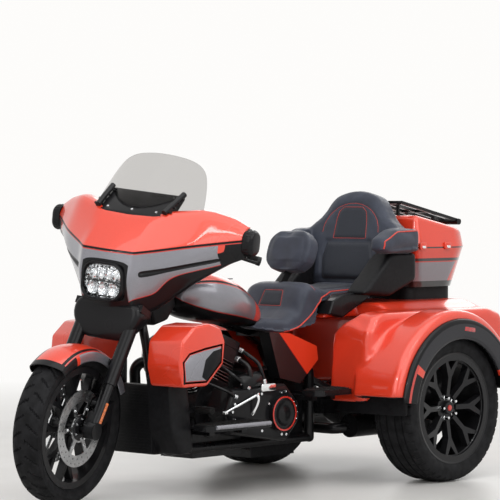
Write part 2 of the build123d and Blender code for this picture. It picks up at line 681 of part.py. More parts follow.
with BuildPart() as oil_cooler:
    with Locations((646, 0, 330)):
        Box(48, 2 * LEG_IN, 290)
    fillet(oil_cooler.edges().filter_by(Axis.Y).group_by(Axis.X)[-1], 8)
    add(frame.part, mode=Mode.SUBTRACT)

# Exhaust on the right: columns are the tube's radius, its bend radius and its points
EXHAUST_TUBES = (
    (24.0, 50.0, ((430, -95, 560), (470, -175, 540), (440, -190, 250), (120, -190, 225), (-350, -190, 225))),
    (24.0, 40.0, ((90, -95, 560), (60, -160, 540), (40, -190, 400), (30, -190, 225))),
    (24.0, 50.0, ((-330, -190, 225), (-420, -190, 225), (-420, 190, 225), (-520, 250, 235))),
)
MUFFLER_R = 52.0
MUFFLERS = ((-420, -250, 240), (-420, 250, 240))
MUFFLER_REAR_X = -1230.0
with BuildPart() as exhaust:
    for radius, bend, points in EXHAUST_TUBES:
        with BuildLine() as run:
            FilletPolyline(*points, radius=bend)
        with BuildSketch(Plane(origin=points[0], z_dir=run.line % 0)):
            Circle(radius)
        sweep()
    for x, y, z in MUFFLERS:
        with BuildSketch(Plane(origin=(x - 30, y, z), x_dir=(0, 1, 0), z_dir=(-1, 0, 0))):
            Circle(MUFFLER_R)
        extrude(amount=x - 30 - MUFFLER_REAR_X)
    with Locations((-420, -220, 235)):
        Sphere(50)
    add(engine_case.part, mode=Mode.SUBTRACT)
    add(cylinders.part, mode=Mode.SUBTRACT)
    add(frame.part, mode=Mode.SUBTRACT)
    add(air_cleaner.part, mode=Mode.SUBTRACT)
    add(gearbox.part, mode=Mode.SUBTRACT)

# Rear body: side outline of the middle, and a fender over each wheel
CORE_OUTLINE = ((-300, 365), (-330, 700), (-372, 772), (-430, BODY_TOP_Z), (-1180, BODY_TOP_Z),
                (-1268, 760), (BODY_REAR_X, 700), (BODY_REAR_X, 430), (-1240, BODY_FLOOR_Z),
                (-600, BODY_FLOOR_Z), (-400, 352))
WELL_IN = REAR_WHEEL_Y - REAR_TYRE_W / 2 - 26
FENDER_OUT = BODY_HALF_W - BAND_T
FENDER_LOW_Z = 392.0
REAR_HUB_PLANE = axle_plane(REAR_AXLE_X, 0, REAR_TYRE_R)
TUNNEL_HALF = 262.0
TUNNEL_X = -400.0
TUNNEL_Z = 520.0
TUNNEL_LONG = 500.0
TUNNEL_TALL = 400.0
SHOULDER_FRONT_X = -280.0
SHOULDER_REAR_X = -560.0
SHOULDER_CUT = ((198, 600), (345, 728), (425, BODY_TOP_Z + 40), (198, BODY_TOP_Z + 40))
TRUNK_BOX = (-1300.0, -800.0, TRUNK_FLOOR_Z, BODY_TOP_Z - BODY_WALL)
CORE_ROUND = 34.0
with BuildPart() as body_core:
    with BuildSketch(SIDE_PLANE):
        Polygon(*CORE_OUTLINE, align=None)
    extrude(amount=-BODY_HALF_CORE)
    fillet(body_core.faces().sort_by(Axis.Y)[-1].edges(), CORE_ROUND)

with BuildPart() as rear_body:
    with BuildSketch(REAR_HUB_PLANE.offset(BODY_HALF_CORE - 60)):
        Circle(FENDER_R)
    extrude(amount=FENDER_OUT - BODY_HALF_CORE + 60)
    fillet(rear_body.faces().sort_by(Axis.Y)[-1].edges(), FENDER_R - BAND_R - 1)
    with BuildSketch(Plane.XY.offset(FENDER_LOW_Z)):
        with Locations((REAR_AXLE_X, 500)):
            Rectangle(1000, 500)
    extrude(amount=-600, mode=Mode.SUBTRACT)
    add(body_core.part)
    mirror(about=Plane.XZ)
    with BuildSketch(REAR_HUB_PLANE.offset(WELL_IN)):
        Circle(WELL_R)
    extrude(amount=400, mode=Mode.SUBTRACT)
    with BuildSketch(REAR_HUB_PLANE.offset(-WELL_IN)):
        Circle(WELL_R)
    extrude(amount=-400, mode=Mode.SUBTRACT)
    with Locations(((TRUNK_BOX[0] + TRUNK_BOX[1]) / 2, 0, (TRUNK_BOX[2] + TRUNK_BOX[3]) / 2)):
        Box(TRUNK_BOX[1] - TRUNK_BOX[0], 2 * TRUNK_HALF_W, TRUNK_BOX[3] - TRUNK_BOX[2], mode=Mode.SUBTRACT)
    with Locations((TUNNEL_X, 0, TUNNEL_Z)):
        Box(TUNNEL_LONG, 2 * TUNNEL_HALF, TUNNEL_TALL, mode=Mode.SUBTRACT)
    for side in (-1, 1):
        with BuildSketch(Plane.YZ.offset(SHOULDER_REAR_X)):
            Polygon(*((side * y, z) for y, z in SHOULDER_CUT), align=None)
        extrude(amount=SHOULDER_FRONT_X - SHOULDER_REAR_X, mode=Mode.SUBTRACT)
    add(frame.part, mode=Mode.SUBTRACT)

with BuildPart() as fender_bands:
    with BuildSketch(REAR_HUB_PLANE.offset(FENDER_OUT)):
        Circle(BAND_R)
        Circle(ARCH_R, mode=Mode.SUBTRACT)
    extrude(amount=BAND_T)
    with BuildSketch(Plane.XY.offset(FENDER_LOW_Z - 20)):
        with Locations((REAR_AXLE_X, 700)):
            Rectangle(1000, 200)
    extrude(amount=-500, mode=Mode.SUBTRACT)
    fillet(fender_bands.faces().sort_by(Axis.Y)[-1].edges().sort_by(SortBy.LENGTH)[-1], 10)
    mirror(about=Plane.XZ)

DOOR_LOW_Z = TRUNK_FLOOR_Z + 8.0
DOOR_TOP_Z = BODY_TOP_Z - 53.0
DOOR_LAP = 30.0
DOOR_SEAL = 0.3
with BuildPart() as trunk_door:
    with BuildSketch(Plane.YZ.offset(BODY_REAR_X - DOOR_SEAL)):
        with Locations((0, (DOOR_LOW_Z + DOOR_TOP_Z) / 2)):
            RectangleRounded(2 * (TRUNK_HALF_W + DOOR_LAP), DOOR_TOP_Z - DOOR_LOW_Z, DOOR_LAP)
    extrude(amount=-LID_T)

LAMP_OUT = 88.0
LAMP_Z = 620.0
LAMP_W = 84.0
LAMP_H = 130.0
LAMP_CORNER = 24.0
with BuildPart() as rear_lamps:
    with BuildSketch(Plane.YZ.offset(BODY_REAR_X)):
        with Locations((TRUNK_HALF_W + LAMP_OUT, LAMP_Z)):
            RectangleRounded(LAMP_W, LAMP_H, LAMP_CORNER)
    extrude(amount=-LID_T)
    mirror(about=Plane.XZ)

# Top box: a plan with tight front corners and wide rear ones, and a lid that slopes to the rear
BOX_FLOOR_IN = 42.0
BOX_SEAL = 0.3
LID_TAPER = 11.0
LID_ROUND = 30.0
CUT_PAST = 80.0
FOOT_IN = 95.0
FOOT_Y = 110.0
BOX_LONG = BOX_FRONT_X - BOX_REAR_X
BOX_MID_X = (BOX_FRONT_X + BOX_REAR_X) / 2
BOX_FRONT_R = BOX_LONG * 0.10
BOX_REAR_R = BOX_LONG * 0.38
LID_SLOPE = (LID_FRONT_Z - LID_REAR_Z) / BOX_LONG


def lid_z(x):
    """Height of the lid's sloping top."""
    return LID_REAR_Z + (x - BOX_REAR_X) * LID_SLOPE


def above_lid(lift):
    """Side outline of the space above the lid's top, from a lift off it."""
    front = BOX_FRONT_X + CUT_PAST
    rear = BOX_REAR_X - CUT_PAST
    ceiling = LID_FRONT_Z + 2 * CUT_PAST
    return ((front, lid_z(front) + lift), (rear, lid_z(rear) + lift), (rear, ceiling), (front, ceiling))


def box_plan(inset):
    """The top box's plan on the current sketch, drawn in by an inset."""
    with Locations((BOX_MID_X, 0)):
        Rectangle(BOX_LONG - 2 * inset, 2 * (BOX_HALF_W - inset))


def box_corners(sketch, inset):
    """Round the plan's corners."""
    fillet(sketch.vertices().group_by(Axis.X)[-1], BOX_FRONT_R - min(inset, BOX_WALL))
    fillet(sketch.vertices().group_by(Axis.X)[0], BOX_REAR_R - min(inset, BOX_WALL))


def box_tub(floor_z, wall):
    """The tub's outside, or its hollow when a wall is given."""
    with BuildPart() as tub:
        for z, inset in ((floor_z, BOX_FLOOR_IN + wall), (BOX_SPLIT_Z, wall)):
            with BuildSketch(Plane.XY.offset(z)) as plan:
                box_plan(inset)
                box_corners(plan, wall)
        loft()
    return tub.part


def lid_dome(wall):
    """The lid's outside, or its hollow when a wall is given."""
    with BuildPart() as dome:
        with BuildSketch(Plane.XY.offset(BOX_SPLIT_Z + BOX_SEAL)) as plan:
            box_plan(wall)
            box_corners(plan, wall)
        extrude(amount=LID_FRONT_Z - BOX_SPLIT_Z + 20, taper=LID_TAPER)
        with BuildSketch(SIDE_PLANE):
            Polygon(*above_lid(-wall), align=None)
        extrude(amount=BOX_HALF_W + CUT_PAST, both=True, mode=Mode.SUBTRACT)
        if wall == 0.0:
            fillet(dome.faces().sort_by(Axis.Z)[-1].edges(), LID_ROUND)
    return dome.part


with BuildPart() as top_box_base:
    add(box_tub(BOX_FLOOR_Z, 0.0))
    add(box_tub(BOX_FLOOR_Z + BOX_WALL, BOX_WALL), mode=Mode.SUBTRACT)
    with BuildSketch(Plane.XY.offset(BODY_TOP_Z)):
        for x in (BOX_FRONT_X - FOOT_IN, BOX_REAR_X + FOOT_IN + BOX_FLOOR_IN):
            with Locations((x, FOOT_Y), (x, -FOOT_Y)):
                Rectangle(70, 60)
    extrude(amount=BOX_FLOOR_Z - BODY_TOP_Z)

with BuildPart() as top_box_lid:
    add(lid_dome(0.0))
    add(lid_dome(BOX_WALL), mode=Mode.SUBTRACT)

# Rack: flat bars on posts, parallel to the lid. Columns of the rails: half width and section
RACK_T = 14.0
RACK_LIFT = 46.0
RACK_HALF_W = 165.0
RACK_IN = 16.0
RACK_POST_Y = 85.0
RACK_RAILS = ((RACK_HALF_W, 18.0), (RACK_POST_Y, 16.0), (0.0, 30.0))
RACK_BAR_R = 15.0
POST_R = 9.0
RACK_FRONT_X = BOX_FRONT_X - RACK_IN
RACK_REAR_X = BOX_REAR_X + RACK_IN
RACK_PLANE = Plane(origin=(BOX_MID_X, 0, lid_z(BOX_MID_X) + RACK_LIFT), x_dir=(1, 0, LID_SLOPE),
                   z_dir=(-LID_SLOPE, 0, 1))
RACK_LONG = (RACK_FRONT_X - RACK_REAR_X) * sqrt(1 + LID_SLOPE**2)
with BuildPart() as luggage_rack:
    with BuildSketch(RACK_PLANE):
        for y, width in RACK_RAILS:
            with Locations((0, y), (0, -y)):
                Rectangle(RACK_LONG, width)
        with Locations((RACK_LONG / 2 - 9, 0), (0, 0)):
            Rectangle(18, 2 * RACK_HALF_W)
    extrude(amount=RACK_T)
    with BuildSketch(axle_plane(RACK_REAR_X, 0, lid_z(RACK_REAR_X) + RACK_LIFT + RACK_T / 2 - 6)):
        Circle(RACK_BAR_R)
    extrude(amount=RACK_HALF_W + RACK_BAR_R, both=True)
    with BuildSketch(Plane.XY.offset(LID_FRONT_Z + RACK_LIFT)):
        for x in (BOX_FRONT_X - FOOT_IN, BOX_REAR_X + FOOT_IN):
            with Locations((x, RACK_POST_Y), (x, -RACK_POST_Y)):
                Circle(POST_R)
    extrude(amount=-200)
    with BuildSketch(SIDE_PLANE):
        Polygon(*above_lid(RACK_LIFT + RACK_T), align=None)
    extrude(amount=BOX_HALF_W, both=True, mode=Mode.SUBTRACT)
    add(lid_dome(0.0), mode=Mode.SUBTRACT)
    add(lid_dome(BOX_WALL), mode=Mode.SUBTRACT)

# Seat and backrests, as plain closed forms
SEAT_HALF_W = 192.0
SEAT_SIDE = ((60, 92), (-50, 118), (-150, 182), (-250, SEAT_HALF_W), (-340, 186), (-440, 168), (-720, 182))
SEAT_PLAN = SEAT_SIDE + tuple((x, -y) for x, y in reversed(SEAT_SIDE))
SEAT_OUTLINE = ((40, 716), (-40, 732), (-150, 722), (-215, 760), (-258, 862), (-300, 872), (-430, 842),
                (-600, 848), (-690, 862), (-700, 795), (-345, 793), (-318, 700), (-110, 664), (0, 690))
with BuildPart() as seat:
    with BuildSketch(SIDE_PLANE):
        Polygon(*SEAT_OUTLINE, align=None)
    extrude(amount=SEAT_HALF_W, both=True)
    with BuildSketch(Plane.XY):
        Polygon(*SEAT_PLAN, align=None)
    extrude(amount=1000, mode=Mode.INTERSECT)
    for neighbour in (fuel_tank, frame, rear_body, rocker_covers):
        add(neighbour.part, mode=Mode.SUBTRACT)

PAD_CENTRE = Vector(-345, 0, 1015)
PAD_LEAN = 18.0
PAD_W = 260.0
PAD_H = 185.0
PAD_CORNER = 60.0
PAD_HALF_T = 32.0
PAD_EDGE = 5.0


def leaning_plane(origin, lean):
    """A plane that faces forward and leans back by an angle."""
    return Plane(origin=origin, x_dir=(0, 1, 0), z_dir=(cos(radians(lean)), 0, sin(radians(lean))))


with BuildPart() as rider_backrest:
    with BuildSketch(leaning_plane(PAD_CENTRE, PAD_LEAN)):
        RectangleRounded(PAD_W, PAD_H, PAD_CORNER)
    extrude(amount=PAD_HALF_T, both=True)
    fillet(rider_backrest.edges().filter_by(GeomType.BSPLINE, reverse=True).group_by(Axis.X)[-1], PAD_EDGE)

POST_RUN = ((-278, 0, 868), (-300, 0, 900), (-385, 0, 990))
POST_BEND = 20.0
POST_W = 34.0
POST_T = 12.0
with BuildPart() as backrest_post:
    with BuildLine():
        FilletPolyline(*POST_RUN, radius=POST_BEND)
    with BuildSketch(along(POST_RUN[0], POST_RUN[1])):
        Rectangle(POST_W, POST_T)
    sweep()
    add(rider_backrest.part, mode=Mode.SUBTRACT)
    add(seat.part, mode=Mode.SUBTRACT)

BACK_FOOT = Vector(-702, 0, 866)
BACK_LEAN = 12.0
BACK_T = 92.0
BACK_SIDE = ((205, 0), (262, 90), (300, 205), (268, 272), (222, 338), (176, 398), (122, 428))
BACK_OUTLINE = BACK_SIDE + tuple((-y, z) for y, z in reversed(BACK_SIDE))
ARM_IN = 244.0
ARM_OUT = 332.0
ARM_ROUND = 26.0
ARM_OUTLINE = ((-596, 1022), (-604, 1072), (-700, 1118), (-862, 1122), (-862, 1012), (-640, 1002))
with BuildPart() as passenger_backrest:
    with BuildSketch(side_plane(ARM_IN)):
        Polygon(*ARM_OUTLINE, align=None)
    extrude(amount=ARM_IN - ARM_OUT)
    fillet(passenger_backrest.faces().sort_by(Axis.Y)[-1].edges(), ARM_ROUND)
    mirror(about=Plane.XZ)
    with BuildSketch(leaning_plane(BACK_FOOT, BACK_LEAN)):
        Polygon(*BACK_OUTLINE, align=None)
    extrude(amount=-BACK_T)
    add(seat.part, mode=Mode.SUBTRACT)
    add(top_box_base.part, mode=Mode.SUBTRACT)

# Speaker pods: side outline below the armrest
SPEAKER_IN = 180.0
SPEAKER_OUT = 300.0
SPEAKER_OUTLINE = ((-505, 826), (-700, 1006), (-866, 1006), (-866, 880), (-690, 812))
with BuildPart() as speaker_pods:
    with BuildSketch(side_plane(SPEAKER_IN)):
        Polygon(*SPEAKER_OUTLINE, align=None)
    extrude(amount=SPEAKER_IN - SPEAKER_OUT)
    fillet(speaker_pods.faces().sort_by(Axis.Y)[-1].edges(), 14)
    mirror(about=Plane.XZ)
    for neighbour in (seat, passenger_backrest, top_box_base):
        add(neighbour.part, mode=Mode.SUBTRACT)

COVER_IN = 125.0
COVER_T = 65.0
COVER_OUTLINE = ((10, 672), (-120, 664), (-300, 600), (-310, 540), (-190, 440), (-60, 470))
with BuildPart() as side_covers:
    with BuildSketch(side_plane(COVER_IN)):
        Polygon(*COVER_OUTLINE, align=None)
    extrude(amount=-COVER_T)
    mirror(about=Plane.XZ)
    for neighbour in (frame, seat, gearbox, rear_body, cylinders, exhaust, primary_cover):
        add(neighbour.part, mode=Mode.SUBTRACT)

# Panels that close the side of the passenger seat
PANEL_IN = 150.0
PANEL_OUT = 232.0
PANEL_OUTLINE = ((-338, 742), (-366, 800), (-430, 826), (-620, 838), (-590, 796), (-540, 772), (-430, 722))
with BuildPart() as seat_panels:
    with BuildSketch(side_plane(PANEL_IN)):
        Polygon(*PANEL_OUTLINE, align=None)
    extrude(amount=PANEL_IN - PANEL_OUT)
    fillet(seat_panels.faces().sort_by(Axis.Y)[-1].edges(), 9)
    mirror(about=Plane.XZ)
    for neighbour in (seat, rear_body, speaker_pods, side_covers):
        add(neighbour.part, mode=Mode.SUBTRACT)

# Footboards: columns are front X, rear X, inner Y, outer Y and Z, on the left
RIDER_BOARD = (590, 200, 272, 400, 300)
PASSENGER_BOARD = (-58, -296, 300, 420, 412)
BOARD_T = 24.0


def make_boards(board, arm_y):
    """A pair of footboards, each on an arm that comes out of the frame or the body."""
    front, rear, inner, outer, z = board
    with BuildPart() as boards:
        with Locations(((front + rear) / 2, (inner + outer) / 2, z)):
            Box(front - rear, outer - inner, BOARD_T)
        fillet(boards.edges().filter_by(Axis.Z), 40)
        for share in (0.25, 0.75):
            with Locations((rear + (front - rear) * share, (inner + 40 + arm_y) / 2, z - BOARD_T)):
                Box(30, inner + 40 - arm_y, BOARD_T)
        mirror(about=Plane.XZ)
    return boards.part


with BuildPart() as rider_footboards:
    add(make_boards(RIDER_BOARD, 110))
    for neighbour in (frame, primary_cover, engine_case, exhaust, lower_fairings, air_cleaner):
        add(neighbour.part, mode=Mode.SUBTRACT)
with BuildPart() as passenger_footboards:
    add(make_boards(PASSENGER_BOARD, GEARBOX_W / 2))
    for neighbour in (frame, primary_cover, gearbox, exhaust, rear_body, side_covers):
        add(neighbour.part, mode=Mode.SUBTRACT)

# Rear axle: the differential between two tubes, with a stub and a brake caliper for each wheel
AXLE_TUBE_R = 38.0
DIFF_R = 118.0
PAD_CLEAR = 5.0
CHEEK_T = 14.0
CALIPER_W = 120.0
CALIPER_H = 80.0
CALIPER_AT = 125.0
DISC_OUT_Y = REAR_WHEEL_Y + REAR_HUB_IN
CHEEK_IN_Y = DISC_OUT_Y - DISC_T - PAD_CLEAR - CHEEK_T
CHEEK_OUT_Y = DISC_OUT_Y + PAD_CLEAR + CHEEK_T
with BuildPart() as rear_axle:
    with BuildSketch(axle_plane(REAR_AXLE_X, CHEEK_IN_Y, REAR_TYRE_R)):
        with Locations((0, -CALIPER_AT)):
            RectangleRounded(CALIPER_W, CALIPER_H, 14)
    extrude(amount=CHEEK_OUT_Y - CHEEK_IN_Y)
    with BuildSketch(axle_plane(REAR_AXLE_X, CHEEK_IN_Y + CHEEK_T, REAR_TYRE_R)):
        Circle(REAR_DISC_R + PAD_CLEAR)
    extrude(amount=DISC_T + 2 * PAD_CLEAR, mode=Mode.SUBTRACT)
    with BuildSketch(axle_plane(REAR_AXLE_X, CHEEK_IN_Y, REAR_TYRE_R)):
        with Locations((0, -CALIPER_AT / 2)):
            Rectangle(CALIPER_W / 2, CALIPER_AT)
    extrude(amount=CHEEK_T)
    mirror(about=Plane.XZ)
    with Locations((REAR_AXLE_X, 0, REAR_TYRE_R)):
        Sphere(DIFF_R)
    with BuildSketch(REAR_HUB_PLANE):
        Circle(AXLE_TUBE_R)
    extrude(amount=CHEEK_IN_Y + CHEEK_T, both=True)
    with BuildSketch(REAR_HUB_PLANE):
        Circle(REAR_AXLE_R)
    extrude(amount=REAR_WHEEL_Y + REAR_HUB_OUT, both=True)
    for neighbour in (rear_body, exhaust, frame):
        add(neighbour.part, mode=Mode.SUBTRACT)

SWING_Y = 150.0
SWING_W = 36.0
PIVOT_X = -350.0
PIVOT_Z = 330.0
with BuildPart() as swingarm:
    for y in (-SWING_Y, SWING_Y):
        with BuildSketch(along((PIVOT_X, y, PIVOT_Z), (REAR_AXLE_X, y, REAR_TYRE_R))):
            Rectangle(70, SWING_W)
        extrude(amount=PIVOT_X - REAR_AXLE_X)
    with Locations((PIVOT_X - 22, 0, PIVOT_Z)):
        Box(SWING_W, 2 * SWING_Y + SWING_W, 56)
    for neighbour in (rear_axle, frame, exhaust, gearbox, rear_body):
        add(neighbour.part, mode=Mode.SUBTRACT)

SHOCK_Y = 225.0
SHOCK_R = 28.0
SHOCK_LONG = 240.0
SHOCK_FOOT_X = REAR_AXLE_X + 20.0
SHOCK_FOOT_Z = REAR_TYRE_R + AXLE_TUBE_R - 2.0
with BuildPart() as rear_shocks:
    for y in (-SHOCK_Y, SHOCK_Y):
        with BuildSketch(Plane(origin=(SHOCK_FOOT_X, y, SHOCK_FOOT_Z), z_dir=(65.0, 0, 238.5))):
            Circle(SHOCK_R)
        extrude(amount=SHOCK_LONG)
    for neighbour in (rear_axle, swingarm, frame, rear_body, exhaust):
        add(neighbour.part, mode=Mode.SUBTRACT)

PEDAL_Z = RIDER_BOARD[4] + 72.0
with BuildPart() as foot_controls:
    with Locations((545, 255, PEDAL_Z)):
        Box(150, 14, 22)
    with Locations((530, 300, PEDAL_Z)):
        Box(24, 100, 24)
    mirror(about=Plane.XZ)
    for neighbour in (rider_footboards, lower_fairings, primary_cover, frame, exhaust):
        add(neighbour.part, mode=Mode.SUBTRACT)

for piece, name in ((seat, "seat"), (rider_backrest, "rider_backrest"),
                    (passenger_backrest, "passenger_backrest"), (speaker_pods, "speaker_pods"),
                    (side_covers, "side_covers"), (rear_axle, "rear_axle"),
                    (swingarm, "swingarm"), (rear_shocks, "rear_shocks"), (foot_controls, "foot_controls")):
    save(piece.part, name)
save(largest(seat_panels.part, 2), "seat_panels")
save(largest(backrest_post.part, 1), "backrest_post")
save(largest(rider_footboards.part, 2), "rider_footboards")
save(largest(passenger_footboards.part, 2), "passenger_footboards")
save(fuel_tank.part, "fuel_tank")
save(lower_fairings.part, "lower_fairings")
save(oil_cooler.part, "oil_cooler")
save(exhaust.part, "exhaust")
save(rear_body.part, "rear_body")
save(fender_bands.part, "fender_bands")
save(trunk_door.part, "trunk_door")
save(rear_lamps.part, "rear_lamps")
save(top_box_base.part, "top_box_base")
save(top_box_lid.part, "top_box_lid")
save(luggage_rack.part, "luggage_rack")
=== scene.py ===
"""Looks of a motorised touring trike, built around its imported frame."""

from math import cos, pi, radians, sin, sqrt

import bmesh
import bpy
import numpy as np
from bpy.props import FloatProperty, FloatVectorProperty, IntProperty, PointerProperty
from mathutils import Matrix, Vector
from mathutils.bvhtree import BVHTree


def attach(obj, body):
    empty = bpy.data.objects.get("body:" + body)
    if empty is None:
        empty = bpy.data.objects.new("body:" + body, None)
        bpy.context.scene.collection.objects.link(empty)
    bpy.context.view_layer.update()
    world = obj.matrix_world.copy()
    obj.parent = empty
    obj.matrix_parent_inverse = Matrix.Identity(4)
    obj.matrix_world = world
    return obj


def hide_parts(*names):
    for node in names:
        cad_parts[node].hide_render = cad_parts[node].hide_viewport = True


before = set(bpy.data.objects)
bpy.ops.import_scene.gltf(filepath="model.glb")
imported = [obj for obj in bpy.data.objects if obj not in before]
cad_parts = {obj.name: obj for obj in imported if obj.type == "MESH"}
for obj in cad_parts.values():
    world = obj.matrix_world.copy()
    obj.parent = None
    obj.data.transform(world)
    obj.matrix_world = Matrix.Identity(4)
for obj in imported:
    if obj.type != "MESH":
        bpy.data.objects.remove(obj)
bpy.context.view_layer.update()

bl_info = {
    "name": "Motorised trike finish",
    "version": (1, 0, 0),
    "blender": (4, 5, 0),
    "location": "View3D > Sidebar > Trike",
    "description": "Dresses the packed trike in paint, leather, rubber and lamps",
    "category": "Object",
}

MM = 0.001
RAKE = radians(26.0)
PARKED_STEER = radians(15.0)
STEER_FOOT = Vector((1.135, 0.0, 0.0))
STEER_AXIS = Vector((-sin(RAKE), 0.0, cos(RAKE)))
PARKED = (Matrix.Translation(STEER_FOOT) @ Matrix.Rotation(PARKED_STEER, 4, STEER_AXIS)
          @ Matrix.Translation(-STEER_FOOT))
FRONT_AXLE = Vector((1035.0, 0.0, 321.2956)) * MM
REAR_AXLE = Vector((-705.0, 0.0, 325.5)) * MM
REAR_WHEEL_Y = 0.548
FINISH = {}


class TrikePaint(bpy.types.PropertyGroup):
    """Colours of the trike's finishes."""

    orange: FloatVectorProperty(name="Orange", description="Top coat of the fairing, tank, fenders and body",
                                subtype="COLOR", min=0.0, max=1.0, default=(0.70, 0.041, 0.013))
    graphite: FloatVectorProperty(name="Graphite", description="Metallic grey of the side panels",
                                  subtype="COLOR", min=0.0, max=1.0, default=(0.235, 0.235, 0.262))
    pinstripe: FloatVectorProperty(name="Pinstripe", description="Thin lines between two colours",
                                   subtype="COLOR", min=0.0, max=1.0, default=(0.52, 0.020, 0.010))
    black: FloatVectorProperty(name="Black", description="Stripes, wheels and gloss trim",
                               subtype="COLOR", min=0.0, max=1.0, default=(0.008, 0.008, 0.009))
    leather: FloatVectorProperty(name="Leather", description="Seats and backrests",
                                 subtype="COLOR", min=0.0, max=1.0, default=(0.034, 0.040, 0.058))
    stitch: FloatVectorProperty(name="Stitching", description="Thread and piping of the seats",
                                subtype="COLOR", min=0.0, max=1.0, default=(0.55, 0.035, 0.018))
    flake: FloatProperty(name="Flake size", description="Grains of the metallic paint per metre",
                         default=900.0, min=50.0, max=4000.0)


class TrikeSizes(bpy.types.PropertyGroup):
    """Sizes of the detail that the scene adds."""

    groove: FloatProperty(name="Tread groove", description="Depth of the tyres' grooves",
                          default=0.006, min=0.001, max=0.012, unit="LENGTH")
    lugs: IntProperty(name="Wheel nuts", description="Nuts around each rear hub", default=5, min=3, max=10)
    piping: FloatProperty(name="Piping", description="Radius of the piping along the seat",
                          default=0.0032, min=0.001, max=0.008, unit="LENGTH")
    puff: FloatProperty(name="Cushion swell", description="Furthest that a cushion swells in the simulation",
                        default=0.010, min=0.0, max=0.03, unit="LENGTH")
    seam: FloatProperty(name="Seam depth", description="How far a sewn seam draws the leather in",
                        default=0.0035, min=0.0, max=0.012, unit="LENGTH")
    bolt: FloatProperty(name="Bolt head", description="Radius of the cover bolts",
                        default=0.0065, min=0.002, max=0.015, unit="LENGTH")


class TrikeStage(bpy.types.PropertyGroup):
    """The studio around the trike."""

    floor: FloatVectorProperty(name="Floor", description="Colour of the floor", subtype="COLOR",
                               min=0.0, max=1.0, default=(0.66, 0.65, 0.63))
    wall: FloatVectorProperty(name="Wall", description="Colour of the wall behind", subtype="COLOR",
                              min=0.0, max=1.0, default=(0.985, 0.975, 0.96))
    lens: FloatProperty(name="Lens", description="Focal length of the camera", default=182.2, min=20.0, max=400.0,
                        unit="CAMERA")
    key: FloatProperty(name="Key light", description="Power of the overhead softbox", default=210.0, min=0.0,
                       max=5000.0, unit="POWER")
    sky: FloatProperty(name="Sky light", description="Strength of the light from all around", default=0.45,
                       min=0.0, max=3.0)


